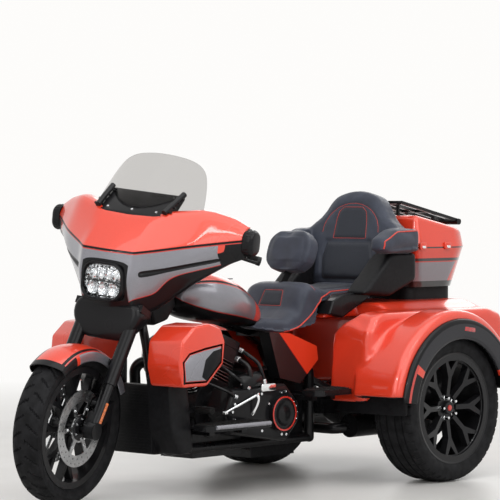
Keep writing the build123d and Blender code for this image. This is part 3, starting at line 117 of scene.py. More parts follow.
class Coat:
    """A material in the making, with short calls for the nodes that the trike's finishes share."""

    def __init__(self, name, colour, roughness, metallic=0.0, coat=0.0):
        self.material = bpy.data.materials.new(name)
        self.material.use_nodes = True
        self.tree = self.material.node_tree
        self.shader = self.tree.nodes["Principled BSDF"]
        self.put("Base Color", (*colour, 1.0))
        self.put("Roughness", roughness)
        self.put("Metallic", metallic)
        self.put("Coat Weight", coat)
        self.put("Coat Roughness", 0.04)
        self.colour = colour
        self.roughness = roughness
        self.place = self.node("ShaderNodeTexCoord").outputs["Object"]

    def node(self, kind, **values):
        made = self.tree.nodes.new(kind)
        for key, value in values.items():
            setattr(made, key, value)
        return made

    def put(self, socket, value):
        self.shader.inputs[socket].default_value = value

    def wire(self, source, socket):
        self.tree.links.new(source, self.shader.inputs[socket])

    def noise(self, scale, detail=3.0, stretch=None):
        tex = self.node("ShaderNodeTexNoise")
        tex.inputs["Scale"].default_value = scale
        tex.inputs["Detail"].default_value = detail
        self.tree.links.new(self.stretched(stretch), tex.inputs["Vector"])
        return tex.outputs["Fac"]

    def cells(self, scale, feature="F1", out="Distance"):
        tex = self.node("ShaderNodeTexVoronoi", feature=feature)
        tex.inputs["Scale"].default_value = scale
        self.tree.links.new(self.place, tex.inputs["Vector"])
        return tex.outputs[out]

    def stretched(self, stretch):
        if stretch is None:
            return self.place
        turn = self.node("ShaderNodeMapping")
        turn.inputs["Scale"].default_value = stretch
        self.tree.links.new(self.place, turn.inputs["Vector"])
        return turn.outputs["Vector"]

    def ramp(self, source, stops):
        made = self.node("ShaderNodeValToRGB")
        band = made.color_ramp
        while len(band.elements) < len(stops):
            band.elements.new(0.5)
        for element, (at, colour) in zip(band.elements, stops):
            element.position = at
            element.color = (*colour, 1.0)
        self.tree.links.new(source, made.inputs["Fac"])
        return made.outputs["Color"]

    def span(self, source, low, high, to_low, to_high):
        made = self.node("ShaderNodeMapRange")
        for key, value in (("From Min", low), ("From Max", high), ("To Min", to_low), ("To Max", to_high)):
            made.inputs[key].default_value = value
        self.tree.links.new(source, made.inputs["Value"])
        return made.outputs["Result"]

    def maths(self, operation, a, b=None):
        made = self.node("ShaderNodeMath", operation=operation)
        for socket, value in zip(made.inputs, (a, b)):
            if value is None:
                continue
            if isinstance(value, (int, float)):
                socket.default_value = value
            else:
                self.tree.links.new(value, socket)
        return made.outputs["Value"]

    def mix(self, share, a, b):
        made = self.node("ShaderNodeMix", data_type="RGBA")
        self.tree.links.new(share, made.inputs[0])
        for index, value in ((6, a), (7, b)):
            if isinstance(value, tuple):
                made.inputs[index].default_value = (*value, 1.0)
            else:
                self.tree.links.new(value, made.inputs[index])
        return made.outputs[2]

    def bump(self, source, strength, distance=0.001, socket="Normal"):
        made = self.node("ShaderNodeBump")
        made.inputs["Strength"].default_value = strength
        made.inputs["Distance"].default_value = distance
        self.tree.links.new(source, made.inputs["Height"])
        self.wire(made.outputs["Normal"], socket)

    def speckle(self, source, spread):
        dark = tuple(c * (1 - spread) for c in self.colour)
        light = tuple(min(1.0, c * (1 + spread) + 0.004 * spread) for c in self.colour)
        self.wire(self.ramp(source, ((0.35, dark), (0.65, light))), "Base Color")

    def wear(self, source, spread):
        self.wire(self.span(source, 0.3, 0.7, max(0.02, self.roughness - spread), self.roughness + spread),
                  "Roughness")

    def axes(self):
        made = self.node("ShaderNodeSeparateXYZ")
        self.tree.links.new(self.place, made.inputs["Vector"])
        return made.outputs["X"], made.outputs["Y"], made.outputs["Z"]

    def above(self, value, edge, soft=0.0006):
        """1 where a length is past an edge, with a thin soft border."""
        return self.span(value, edge - soft, edge + soft, 0.0, 1.0)

    def attribute(self, name):
        return self.node("ShaderNodeAttribute", attribute_name=name).outputs["Fac"]

    def facing(self, middle):
        """1 where the surface faces a point, as the inside of a box does."""
        spot = self.node("ShaderNodeTexCoord")
        away = self.node("ShaderNodeVectorMath", operation="SUBTRACT")
        away.inputs[1].default_value = middle
        self.tree.links.new(spot.outputs["Object"], away.inputs[0])
        toward = self.node("ShaderNodeVectorMath", operation="DOT_PRODUCT")
        self.tree.links.new(spot.outputs["Normal"], toward.inputs[0])
        self.tree.links.new(away.outputs["Vector"], toward.inputs[1])
        return self.span(toward.outputs["Value"], 0.0, 0.004, 1.0, 0.0)


def paint_finish(name, colour, metallic, flake, spread):
    """Glossy lacquer over a fine metallic base coat."""
    coat = Coat(name, colour, 0.30, metallic, 0.7)
    coat.speckle(coat.noise(flake, 2.0), spread)
    coat.wear(coat.noise(3.0, 2.0), 0.04)
    coat.bump(coat.noise(160.0, 2.0), 0.012, 0.001, "Coat Normal")
    return coat


# How strongly the dark finishes mirror the room
SHEEN = {
    "gloss_black": 0.10, "wheel_black": 0.22, "dark_graphite": 0.14, "black_metal": 0.18, "engine_black": 0.20,
    "black_plastic": 0.13, "grip_rubber": 0.12, "tyre": 0.11, "seat_leather": 0.24,
}
# Lacquer over the dark paints is thinner than over the bright ones
DARK_COAT = 0.15


def mix_finishes():
    """Every finish of the trike, by the name of its use."""
    paint = bpy.context.scene.trike_paint
    orange, graphite, pin, black = (tuple(c) for c in (paint.orange, paint.graphite, paint.pinstripe, paint.black))
    leather, stitch = tuple(paint.leather), tuple(paint.stitch)
    coats = {
        "orange_paint": paint_finish("orange_paint", orange, 0.10, paint.flake, 0.10),
        "graphite_paint": paint_finish("graphite_paint", graphite, 0.55, paint.flake, 0.22),
        "pinstripe": paint_finish("pinstripe", pin, 0.0, paint.flake, 0.06),
        "gloss_black": paint_finish("gloss_black", black, 0.0, paint.flake, 0.15),
        "wheel_black": paint_finish("wheel_black", tuple(c * 1.3 for c in black), 0.2, paint.flake, 0.2),
        "dark_graphite": paint_finish("dark_graphite", tuple(c * 0.15 for c in graphite), 0.4, paint.flake, 0.25),
    }
    for name in ("gloss_black", "wheel_black", "dark_graphite"):
        coats[name].put("Coat Weight", DARK_COAT)

    metal = Coat("black_metal", (0.008, 0.008, 0.009), 0.32, 0.35, 0.18)
    metal.speckle(metal.noise(220.0), 0.2)
    metal.wear(metal.noise(14.0), 0.10)
    metal.bump(metal.noise(420.0), 0.05)
    coats["black_metal"] = metal

    wrinkle = Coat("engine_black", (0.007, 0.007, 0.008), 0.38, 0.25, 0.16)
    wrinkle.speckle(wrinkle.noise(90.0), 0.3)
    wrinkle.wear(wrinkle.noise(9.0), 0.12)
    wrinkle.bump(wrinkle.noise(520.0, 5.0), 0.16)
    coats["engine_black"] = wrinkle

    steel = Coat("disc_steel", (0.56, 0.57, 0.58), 0.27, 1.0)
    steel.speckle(steel.noise(30.0), 0.10)
    steel.wear(steel.noise(260.0, 4.0, (1.0, 1.0, 6.0)), 0.10)
    steel.bump(steel.noise(700.0, 2.0, (1.0, 1.0, 8.0)), 0.06)
    coats["disc_steel"] = steel

    chrome = Coat("chrome", (0.78, 0.79, 0.80), 0.08, 1.0)
    chrome.wear(chrome.noise(40.0), 0.04)
    coats["chrome"] = chrome

    facets = Coat("reflector", (0.74, 0.75, 0.76), 0.10, 1.0)
    facets.wear(facets.noise(60.0), 0.05)
    facets.bump(facets.cells(70.0), 0.8, 0.006)
    coats["reflector"] = facets

    plastic = Coat("black_plastic", (0.007, 0.007, 0.008), 0.44)
    plastic.speckle(plastic.noise(60.0), 0.18)
    plastic.wear(plastic.noise(11.0), 0.08)
    plastic.bump(plastic.cells(900.0), 0.10)
    coats["black_plastic"] = plastic

    rubber = Coat("grip_rubber", (0.010, 0.010, 0.010), 0.70)
    rubber.speckle(rubber.noise(70.0), 0.3)
    rubber.wear(rubber.noise(22.0), 0.10)
    rubber.bump(rubber.cells(420.0), 0.20)
    coats["grip_rubber"] = rubber

    tyre = Coat("tyre", (0.009, 0.009, 0.010), 0.60)
    tyre.speckle(tyre.noise(26.0, 5.0), 0.35)
    tyre.wear(tyre.noise(48.0), 0.12)
    tyre.bump(tyre.noise(640.0, 3.0), 0.12)
    coats["tyre"] = tyre

    coats["smoked_screen"] = smoked_finish()
    coats["lamp_glass"] = glass_finish("lamp_glass", (0.96, 0.97, 0.98), 240.0)
    coats["red_lens"] = lens_finish("red_lens", (0.50, 0.006, 0.008))
    coats["amber_lens"] = lens_finish("amber_lens", (0.62, 0.13, 0.01))
    coats["seat_leather"] = leather_finish("seat_leather", leather, 260.0, 0.30)
    coats["piping"] = leather_finish("piping", stitch, 400.0, 0.16)
    coats["side_cover"] = side_cover_finish(orange, black, pin, paint.flake)
    coats["box_side"] = box_side_finish(orange, graphite, black, pin, paint.flake)
    coats["lid_paint"] = lined_finish("lid_paint", orange, LID_MIDDLE, paint.flake)
    coats["door_paint"] = lined_finish("door_paint", orange, DOOR_MIDDLE, paint.flake)
    for name, level in SHEEN.items():
        coats[name].put("Specular IOR Level", level)
    for name, coat in coats.items():
        FINISH[name] = coat.material


def smoked_finish():
    """Tinted clear screen with faint polishing haze."""
    smoke = Coat("smoked_screen", (0.60, 0.59, 0.58), 0.03)
    smoke.put("Transmission Weight", 1.0)
    smoke.put("IOR", 1.10)
    smoke.wear(smoke.noise(7.0), 0.015)
    return smoke


def glass_finish(name, colour, ribs):
    """Clear moulded lens."""
    glass = Coat(name, colour, 0.03)
    glass.put("Transmission Weight", 1.0)
    glass.put("IOR", 1.3)
    glass.wear(glass.noise(30.0), 0.02)
    glass.bump(glass.noise(ribs, 1.0), 0.02)
    return glass


def lens_finish(name, colour):
    """Coloured lamp lens with a prism pattern."""
    lens = Coat(name, colour, 0.14, 0.0, 1.0)
    lens.put("Transmission Weight", 0.25)
    lens.speckle(lens.cells(240.0), 0.35)
    lens.bump(lens.cells(240.0), 0.25)
    return lens


def leather_finish(name, colour, grain, rough):
    """Grained hide. The piece's own attribute places the panels of perforated hide on it."""
    hide = Coat(name, colour, 0.44)
    hide.put("Sheen Weight", 0.12)
    panel = hide.above(hide.attribute("panel"), 0.0012, 0.0008)
    tone = hide.ramp(hide.noise(18.0, 4.0), ((0.3, tuple(c * 0.82 for c in colour)),
                                             (0.7, tuple(c * 1.18 for c in colour))))
    inset = hide.ramp(hide.cells(520.0), ((0.25, tuple(c * 0.30 for c in colour)),
                                          (0.55, tuple(c * 0.62 for c in colour))))
    hide.wire(hide.mix(panel, tone, inset), "Base Color")
    hide.wear(hide.noise(34.0), 0.07)
    hide.bump(hide.cells(grain), rough, 0.0008)
    return hide


def banded(coat, flake, base, bands):
    """Lay bands of colour over a base: each is a share and a colour, later ones on top."""
    shade = base
    for share, colour in bands:
        shade = coat.mix(share, shade, colour)
    grain = coat.ramp(coat.noise(flake, 2.0), ((0.35, (0.86, 0.86, 0.86)), (0.65, (1.0, 1.0, 1.0))))
    made = coat.node("ShaderNodeMix", data_type="RGBA", blend_type="MULTIPLY")
    made.inputs["Factor"].default_value = 1.0
    coat.tree.links.new(shade, made.inputs[6])
    coat.tree.links.new(grain, made.inputs[7])
    coat.wire(made.outputs[2], "Base Color")
    coat.bump(coat.noise(160.0, 2.0), 0.012, 0.001, "Coat Normal")
    return coat


def side_cover_finish(orange, black, pin, flake):
    """Side cover: orange behind a slanting line, gloss black before it."""
    coat = Coat("side_cover", black, 0.30, 0.0, 0.3)
    coat.put("Specular IOR Level", 0.30)
    x, _, z = coat.axes()
    ahead = coat.maths("MULTIPLY", coat.maths("ADD", x, 0.085), -0.72)
    rise = coat.maths("MULTIPLY", coat.maths("SUBTRACT", z, 0.640), 0.694)
    line = coat.maths("ADD", ahead, rise)
    bands = ((coat.above(line, -0.004), pin), (coat.above(line, 0.0), orange))
    dark = coat.ramp(coat.noise(300.0), ((0.3, tuple(c * 0.8 for c in black)), (0.7, black)))
    return banded(coat, flake, dark, bands)


# Middles of the spaces that the lined panels close, in metres
TUB_MIDDLE = (-1.112, 0.0, 0.95)
LID_MIDDLE = (-1.112, 0.0, 1.10)
DOOR_MIDDLE = (-1.0, 0.0, 0.586)
LINING = (0.012, 0.012, 0.013)


def lined_finish(name, orange, middle, flake):
    """Lacquer outside, and a dark lining on the faces that look into the space behind."""
    coat = Coat(name, orange, 0.30, 0.10, 0.7)
    glow = coat.ramp(coat.noise(3.0), ((0.3, orange), (0.7, tuple(c * 1.08 for c in orange))))
    return banded(coat, flake, glow, ((coat.facing(middle), LINING),))


def box_side_finish(orange, graphite, black, pin, flake):
    """Tub of the top box: orange rim and tail, a black stripe and a graphite side."""
    coat = Coat("box_side", orange, 0.28, 0.15, 1.0)
    x, _, z = coat.axes()
    low = coat.maths("MULTIPLY", coat.maths("SUBTRACT", z, 0.963), -1.0)
    tail = coat.maths("ADD", coat.maths("ADD", x, 1.205), coat.maths("MULTIPLY", low, -0.5))
    inside = coat.above(tail, 0.0)
    side = coat.maths("MULTIPLY", coat.above(low, 0.0), inside)
    core = coat.maths("MULTIPLY", coat.above(low, 0.0035), coat.above(tail, 0.004))
    stripe = coat.maths("MULTIPLY", coat.above(z, 0.964), coat.above(coat.maths("MULTIPLY", z, -1.0), -0.978))
    floor = coat.above(coat.maths("MULTIPLY", z, -1.0), -0.872)
    seam = coat.above(z, 1.024)
    tint = coat.ramp(coat.noise(flake, 2.0), ((0.35, tuple(c * 0.75 for c in graphite)), (0.65, graphite)))
    glow = coat.ramp(coat.noise(3.0), ((0.3, tuple(c * 0.97 for c in orange)), (0.7, orange)))
    lining = coat.facing(TUB_MIDDLE)
    return banded(coat, flake, glow, ((side, pin), (core, tint), (stripe, black), (floor, black), (seam, black),
                                      (lining, LINING)))


def piece(name, bm, finishes, body, stands_for=(), sharp=35.0, turn=False):
    """Make a bmesh an object with its finishes, riding on a body of the frame."""
    if turn:
        bmesh.ops.transform(bm, matrix=PARKED, verts=bm.verts)
    mesh = bpy.data.meshes.new(name)
    bm.to_mesh(mesh)
    bm.free()
    mesh.shade_smooth()
    mesh.set_sharp_from_angle(angle=radians(sharp))
    made = bpy.data.objects.new(name, mesh)
    bpy.context.scene.collection.objects.link(made)
    for finish in finishes:
        mesh.materials.append(FINISH[finish])
    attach(made, body)
    if stands_for:
        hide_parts(*stands_for)
    return made


def subdivide(made, levels, wall=0.0):
    """Round a piece with a subdivision surface, and give it a wall."""
    smooth = made.modifiers.new("Round", "SUBSURF")
    smooth.levels = levels
    smooth.render_levels = levels
    if wall:
        shell = made.modifiers.new("Wall", "SOLIDIFY")
        shell.thickness = wall
        shell.offset = -1.0
    return made


def chain(bm, points, closed):
    """Vertices and edges through points given in millimetres."""
    verts = [bm.verts.new(Vector(p) * MM) for p in points]
    count = len(verts) if closed else len(verts) - 1
    edges = [bm.edges.new((verts[i], verts[(i + 1) % len(verts)])) for i in range(count)]
    return verts, edges


def loft(bm, sections, closed=False, bands=None, caps=False):
    """Skin a row of sections in millimetres: each one's edges are extruded to the next.

    Bands gives a material index for each edge of the section, or a function of row and edge.
    """
    row, edges = chain(bm, sections[0], closed)
    first = row
    for step, points in enumerate(sections[1:]):
        made = bmesh.ops.extrude_edge_only(bm, edges=edges)["geom"]
        fresh = {v for v in made if isinstance(v, bmesh.types.BMVert)}
        pairs = [next(e.other_vert(v) for e in v.link_edges if e.other_vert(v) in fresh) for v in row]
        for v, p in zip(pairs, points):
            v.co = Vector(p) * MM
        count = len(pairs) if closed else len(pairs) - 1
        for i in range(count):
            j = (i + 1) % len(pairs)
            face = next(f for f in bm.edges.get((row[i], row[j])).link_faces if pairs[i] in f.verts)
            if bands is not None:
                face.material_index = bands(step, i) if callable(bands) else bands[i]
        edges = [bm.edges.get((pairs[i], pairs[(i + 1) % len(pairs)])) for i in range(count)]
        row = pairs
    if caps:
        for loop in (first, row):
            bm.faces.new(loop)
    bmesh.ops.recalc_face_normals(bm, faces=bm.faces)
    return bm


def slab(bm, outline, low, high, axis="Y", material=0, bevel=0.0, segments=3):
    """Extrude an outline in millimetres from one depth to another, and round its outer rim."""
    place = {"Y": lambda a, b, d: (a, d, b), "X": lambda a, b, d: (d, a, b), "Z": lambda a, b, d: (a, b, d)}[axis]
    base = [bm.verts.new(Vector(place(a, b, low)) * MM) for a, b in outline]
    face = bm.faces.new(base)
    face.material_index = material
    made = bmesh.ops.extrude_face_region(bm, geom=[face])["geom"]
    verts = [v for v in made if isinstance(v, bmesh.types.BMVert)]
    shift = Vector(place(0.0, 0.0, (high - low) * MM))
    bmesh.ops.translate(bm, vec=shift, verts=verts)
    top = next(f for f in made if isinstance(f, bmesh.types.BMFace))
    faces = {f for v in base + verts for f in v.link_faces}
    for f in faces:
        f.material_index = material
    bmesh.ops.recalc_face_normals(bm, faces=list(faces))
    if bevel:
        rim = list(top.edges) + [e for v in verts for e in v.link_edges if e.other_vert(v) in base]
        bmesh.ops.bevel(bm, geom=rim, offset=bevel * MM, affect="EDGES", segments=segments, profile=0.5, material=-1)
    return bm


def rod(bm, points, radius, material=0, smooth=True):
    """A round rod or tube along points in metres."""
    curve = bpy.data.curves.new("rod", "CURVE")
    curve.dimensions = "3D"
    curve.bevel_depth = radius
    curve.bevel_resolution = 3
    curve.use_fill_caps = True
    spline = curve.splines.new("NURBS" if smooth else "POLY")
    spline.points.add(len(points) - 1)
    for knot, p in zip(spline.points, points):
        knot.co = (*p, 1.0)
    if smooth:
        spline.order_u = 3
        spline.use_endpoint_u = True
        spline.resolution_u = 6
    holder = bpy.data.objects.new("rod", curve)
    mesh = bpy.data.meshes.new_from_object(holder)
    start = len(bm.faces)
    bm.from_mesh(mesh)
    bm.faces.ensure_lookup_table()
    for face in bm.faces[start:]:
        face.material_index = material
    bpy.data.objects.remove(holder)
    bpy.data.curves.remove(curve)
    bpy.data.meshes.remove(mesh)
    return bm


def pointing(at, axis):
    """A matrix at a point with its Z along an axis."""
    return Matrix.Translation(at) @ Vector(axis).to_track_quat("Z", "Y").to_matrix().to_4x4()


def bolt(bm, at, axis, radius, material=0, sides=12):
    """A cap screw with a socket in its head."""
    made = bmesh.ops.create_cone(bm, cap_ends=True, segments=sides, radius1=radius, radius2=radius * 0.9,
                                 depth=radius * 1.1, matrix=pointing(at, axis))["verts"]
    faces = {f for v in made for f in v.link_faces}
    for face in faces:
        face.material_index = material
    head = max(faces, key=lambda f: f.calc_center_median().dot(Vector(axis)))
    bmesh.ops.inset_region(bm, faces=[head], thickness=radius * 0.4)
    bmesh.ops.inset_region(bm, faces=[head], thickness=radius * 0.06, depth=-radius * 0.5)
    return bm


def turned_disc(bm, profile, at, axis, steps=32, material=0):
    """Spin a profile of (radius, depth) in millimetres round an axis through a point."""
    frame_of = pointing(at, axis)
    verts = [bm.verts.new(frame_of @ Vector((r * MM, 0.0, d * MM))) for r, d in profile]
    edges = [bm.edges.new(pair) for pair in zip(verts, verts[1:])]
    before = set(bm.faces)
    bmesh.ops.spin(bm, geom=verts + edges, cent=at, axis=Vector(axis).normalized(), angle=2 * pi, steps=steps,
                   use_merge=True)
    faces = [f for f in bm.faces if f not in before]
    for face in faces:
        face.material_index = material
    bmesh.ops.recalc_face_normals(bm, faces=faces)
    return faces


def rounded(width, height, corner, steps=5):
    """Points round a rectangle with rounded corners, centred."""
    points = []
    for sy, sz, start in ((1, 1, 0), (-1, 1, 90), (-1, -1, 180), (1, -1, 270)):
        for k in range(steps + 1):
            a = radians(start + 90.0 * k / steps)
            points.append((sy * (width / 2 - corner) + corner * cos(a), sz * (height / 2 - corner) + corner * sin(a)))
    return points


def blend_rows(table, at):
    """A row between a table's rows, by its first column."""
    for a, b in zip(table, table[1:]):
        if a[0] <= at <= b[0]:
            t = (at - a[0]) / (b[0] - a[0])
            return [p + (q - p) * t for p, q in zip(a, b)]
    raise ValueError(f"{at} lies outside the table")


def held(mesh):
    """A mesh in the scene, to run modifiers on."""
    holder = bpy.data.objects.new("form", mesh)
    bpy.context.scene.collection.objects.link(holder)
    return holder


def places_of(mesh):
    """Places of a mesh's vertices as an array."""
    flat = np.empty(len(mesh.vertices) * 3)
    mesh.vertices.foreach_get("co", flat)
    return flat.reshape(-1, 3)


def taken(mesh):
    """A mesh as a bmesh, with the mesh itself removed."""
    bm = bmesh.new()
    bm.from_mesh(mesh)
    bpy.data.meshes.remove(mesh)
    return bm


def smooth_step(share):
    """A share from 0 to 1 eased at both ends."""
    return share * share * (3.0 - 2.0 * share)


def softened(node, voxel, relax):
    """An even mesh of a node's form with its edges eased, at the node's own size."""
    bm = bmesh.new()
    bm.from_mesh(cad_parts[node].data)
    bmesh.ops.remove_doubles(bm, verts=bm.verts, dist=0.00001)
    source = bpy.data.meshes.new(f"{node}_form")
    bm.to_mesh(source)
    bm.free()
    holder = held(source)
    even = holder.modifiers.new("Even", "REMESH")
    even.mode = "VOXEL"
    even.voxel_size = voxel
    soft = holder.modifiers.new("Soft", "SMOOTH")
    soft.factor = 0.5
    soft.iterations = relax
    mesh = bpy.data.meshes.new_from_object(holder.evaluated_get(bpy.context.evaluated_depsgraph_get()))
    box, places = places_of(source), places_of(mesh)
    low, high = places.min(axis=0), places.max(axis=0)
    places = box.min(axis=0) + (places - low) / (high - low) * (box.max(axis=0) - box.min(axis=0))
    mesh.vertices.foreach_set("co", places.reshape(-1))
    mesh.update()
    bpy.data.objects.remove(holder)
    bpy.data.meshes.remove(source)
    return mesh


# Nodes that keep their CAD form: finish of each
NODE_FINISH = {
    "front_rim": "wheel_black", "rear_rim_left": "wheel_black", "rear_rim_right": "wheel_black",
    "front_discs": "disc_steel", "fork_tubes": "gloss_black", "fork_lowers": "black_metal",
    "triple_clamps": "black_metal", "front_calipers": "black_metal", "fairing_inner": "black_plastic",
    "handlebar": "black_metal", "grips": "grip_rubber",
    "frame": "black_metal", "engine_case": "engine_black", "cylinders": "engine_black",
    "rocker_covers": "gloss_black", "primary_cover": "gloss_black", "gearbox": "engine_black",
    "air_cleaner": "gloss_black", "oil_cooler": "black_plastic", "exhaust": "black_metal",
    "trunk_door": "door_paint", "rear_lamps": "red_lens", "top_box_base": "box_side",
    "top_box_lid": "lid_paint", "luggage_rack": "black_metal", "backrest_post": "black_metal",
    "side_covers": "side_cover", "seat_panels": "gloss_black",
    "rider_footboards": "black_metal", "passenger_footboards": "black_metal", "rear_axle": "black_metal",
    "swingarm": "black_metal", "rear_shocks": "black_metal", "foot_controls": "black_metal",
}
# Finishes of the painted shells, and their indices
SHELL = ("orange_paint", "graphite_paint", "pinstripe", "gloss_black")
ORANGE, GRAPHITE, PIN, BLACK = range(4)


class TRIKE_OT_finishes(bpy.types.Operator):
    """Mix the finishes and lay them on the nodes that keep their CAD form"""

    bl_idname = "trike.finishes"
    bl_label = "Finishes"

    def execute(self, context):
        mix_finishes()
        for node, finish in NODE_FINISH.items():
            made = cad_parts[node]
            made.data.materials.clear()
            made.data.materials.append(FINISH[finish])
            made.data.shade_smooth()
            weld = made.modifiers.new("Join", "WELD")
            weld.merge_threshold = 0.00001
            split = made.modifiers.new("Crisp", "EDGE_SPLIT")
            split.split_angle = radians(32.0)
        return {"FINISHED"}


# Fairing as in the CAD: half width, then X and Z of its lower edge, nose, stripe and top, and X of its back
FAIRING_FORM = (
    (0.0, 806, 755, 884, 905, 868, 1046, 712, 1194, 676),
    (125.0, 796, 768, 866, 915, 850, 1048, 700, 1206, 660),
    (165.0, 735, 800, 815, 945, 810, 1060, 688, 1220, 640),
    (300.0, 640, 935, 718, 1020, 708, 1098, 624, 1244, 550),
    (400.0, 556, 1018, 606, 1072, 600, 1132, 546, 1216, 496),
    (462.0, 515, 1052, 540, 1095, 536, 1142, 506, 1182, 472),
)
# Colour borders across the fairing: half width and height of each point
GRAPHITE_EDGE = ((0, 824), (98, 826), (112, 838), (125, 848), (195, 884), (236, 952), (300, 981), (383, 1016),
                 (462, 1058))
LAMP_EDGE = ((0, 839), (98, 839), (112, 850), (125, 868), (195, 914), (236, 966), (300, 991), (383, 1023),
             (462, 1065))
SLOT_LOW = ((0, 914), (98, 914), (125, 935), (151, 956), (236, 977), (300, 1000), (383, 1030), (462, 1072))
SLOT_HIGH = ((0, 989), (98, 989), (112, 972), (125, 962), (151, 968), (236, 990), (300, 1012), (383, 1041),
             (462, 1081))
BROW = ((0, 1006), (80, 1003), (98, 996), (112, 982), (125, 985), (236, 1018), (300, 1040), (383, 1066),
        (462, 1096))
STRIPE_TOP = ((0, 1050), (125, 1050), (200, 1068), (300, 1094), (400, 1118), (462, 1132))
FAIRING_STATIONS = (0, 56, 98, 112, 125, 151, 165, 195, 236, 300, 350, 392, 408, 428, 462)
STRIPE_W = 11.0
PIN_W = 2.4
# Narrow rows beside a line hold its width under the subdivision surface
GUARD_W = 4.0
# Half widths at which the lamp's black surround, the slot, the grey panel and its orange end begin or stop
SURROUND_HALF = 112
SLOT_FROM = 151
PANEL_END = 392
ACCENT_END = 408
# Rows of the skin, from the chin: its last black one, then single ones
CHIN_ROW, EDGE_PIN_ROW, SLOT_ROW, PANEL_ROW, PIN_ROW, STRIPE_ROW = 2, 3, 7, 9, 11, 12
# Opening for the headlamp, in metres: half width, low and high
LAMP_HOLE = (0.0981, 0.838, 0.990)
HEADLAMP_Z = 914.0


def fairing_section(y):
    """Rows of the fairing's skin at a distance from the middle, from the chin's lip to the roof's back."""
    _, low_x, low_z, nose_x, nose_z, line_x, line_z, top_x, top_z, back_x = blend_rows(FAIRING_FORM, abs(y))
    stripe = blend_rows(STRIPE_TOP, abs(y))[1]
    edge = blend_rows(GRAPHITE_EDGE, abs(y))[1]
    heights = [low_z, edge - GUARD_W, edge, edge + PIN_W, edge + PIN_W + GUARD_W]
    heights += [blend_rows(table, abs(y))[1] for table in (LAMP_EDGE, SLOT_LOW, SLOT_HIGH, BROW)]
    pin = stripe - STRIPE_W - PIN_W
    heights += [pin - GUARD_W, pin, stripe - STRIPE_W, stripe, stripe + GUARD_W]
    heights += [stripe + (top_z - stripe) * share for share in (0.30, 0.70)] + [top_z]
    reach = np.interp(heights, (low_z, nose_z, line_z, top_z), (low_x, nose_x, line_x, top_x))
    rows = [(low_x - 40, y, low_z + 6)] + [(x, y, z) for x, z in zip(reach, heights)]
    return rows + [(back_x + 4, y, top_z - 2)]


def fairing_colour(stations, row, step):
    """Index of the finish of a patch of the fairing."""
    y = abs(stations[step] + stations[step + 1]) / 2
    if row > STRIPE_ROW:
        return ORANGE
    if row == STRIPE_ROW or row <= CHIN_ROW:
        return BLACK
    if row == PIN_ROW:
        return PIN
    if row >= PANEL_ROW:
        return GRAPHITE if y < PANEL_END else ORANGE if y < ACCENT_END else BLACK
    if y < SURROUND_HALF or y > PANEL_END:
        return BLACK
    if row == SLOT_ROW:
        return GRAPHITE if y < SLOT_FROM else BLACK
    return PIN if row == EDGE_PIN_ROW else GRAPHITE


def outward(bm, centre):
    """Turn an open skin's faces away from a point in millimetres."""
    bmesh.ops.recalc_face_normals(bm, faces=bm.faces)
    middle = Vector(centre) * MM
    side = sum(f.normal.dot(f.calc_center_median() - middle) * f.calc_area() for f in bm.faces)
    if side < 0:
        bmesh.ops.reverse_faces(bm, faces=bm.faces)


def crease(bm, between, value):
    """Hold the edges between two finishes crisp under a subdivision surface."""
    layer = bm.edges.layers.float.new("crease_edge")
    for edge in bm.edges:
        if {f.material_index for f in edge.link_faces} == between:
            edge[layer] = value


def both_sides(bm):
    """Repeat a left-hand piece on the right."""
    bmesh.ops.mirror(bm, geom=bm.verts[:] + bm.edges[:] + bm.faces[:], axis="Y", merge_dist=0.0)
    bmesh.ops.recalc_face_normals(bm, faces=bm.faces)


class TRIKE_OT_fairing(bpy.types.Operator):
    """Skin the fairing in its colours, with the lamp's opening and the vent slots"""

    bl_idname = "trike.fairing"
    bl_label = "Fairing"

    def execute(self, context):
        stations = [-y for y in reversed(FAIRING_STATIONS)] + list(FAIRING_STATIONS[1:])
        bm = bmesh.new()
        loft(bm, [fairing_section(y) for y in stations],
             bands=lambda step, row: fairing_colour(stations, row, step))
        outward(bm, (560, 0, 1020))
        half, low, high = LAMP_HOLE
        hole = [f for f in bm.faces if all(abs(v.co.y) < half and low < v.co.z < high for v in f.verts)]
        bmesh.ops.delete(bm, geom=hole, context="FACES")
        slot = [f for f in bm.faces if self.in_slot(f)]
        bmesh.ops.inset_region(bm, faces=slot, thickness=0.002, depth=-0.006)
        crease(bm, {ORANGE, BLACK}, 0.6)
        shell = piece("fairing_shell", bm, SHELL, "front_end", ("fairing_outer",), turn=True)
        subdivide(shell, 2, 0.004)
        return {"FINISHED"}

    @staticmethod
    def in_slot(face):
        """Whether a black patch lies between the slot's borders, or at most 3 mm off them."""
        middle = face.calc_center_median() / MM
        side = abs(middle.y)
        if face.material_index != BLACK or not SLOT_FROM < side < PANEL_END:
            return False
        return blend_rows(SLOT_LOW, side)[1] - 3 < middle.z < blend_rows(SLOT_HIGH, side)[1] + 3


# Cover between the fork legs, under the fairing: height, X of its back and front, half width
NACELLE = ((668, 790, 838, 88), (690, 765, 846, 120), (730, 742, 846, 150), (770, 712, 836, 168),
           (810, 695, 828, 160), (840, 690, 830, 140))


class TRIKE_OT_nacelle(bpy.types.Operator):
    """Close the space between the fork legs under the fairing"""

    bl_idname = "trike.nacelle"
    bl_label = "Fork cover"

    def execute(self, context):
        bm = bmesh.new()
        loft(bm, [self.ring(*row) for row in NACELLE], closed=True, caps=True)
        cover = piece("fork_cover", bm, ("gloss_black",), "front_end", turn=True)
        subdivide(cover, 1)
        return {"FINISHED"}

    @staticmethod
    def ring(z, back, front, half):
        depth = front - back
        return [((back + front) / 2 + x, y, z) for x, y in rounded(depth, 2 * half, min(30, depth / 3))]


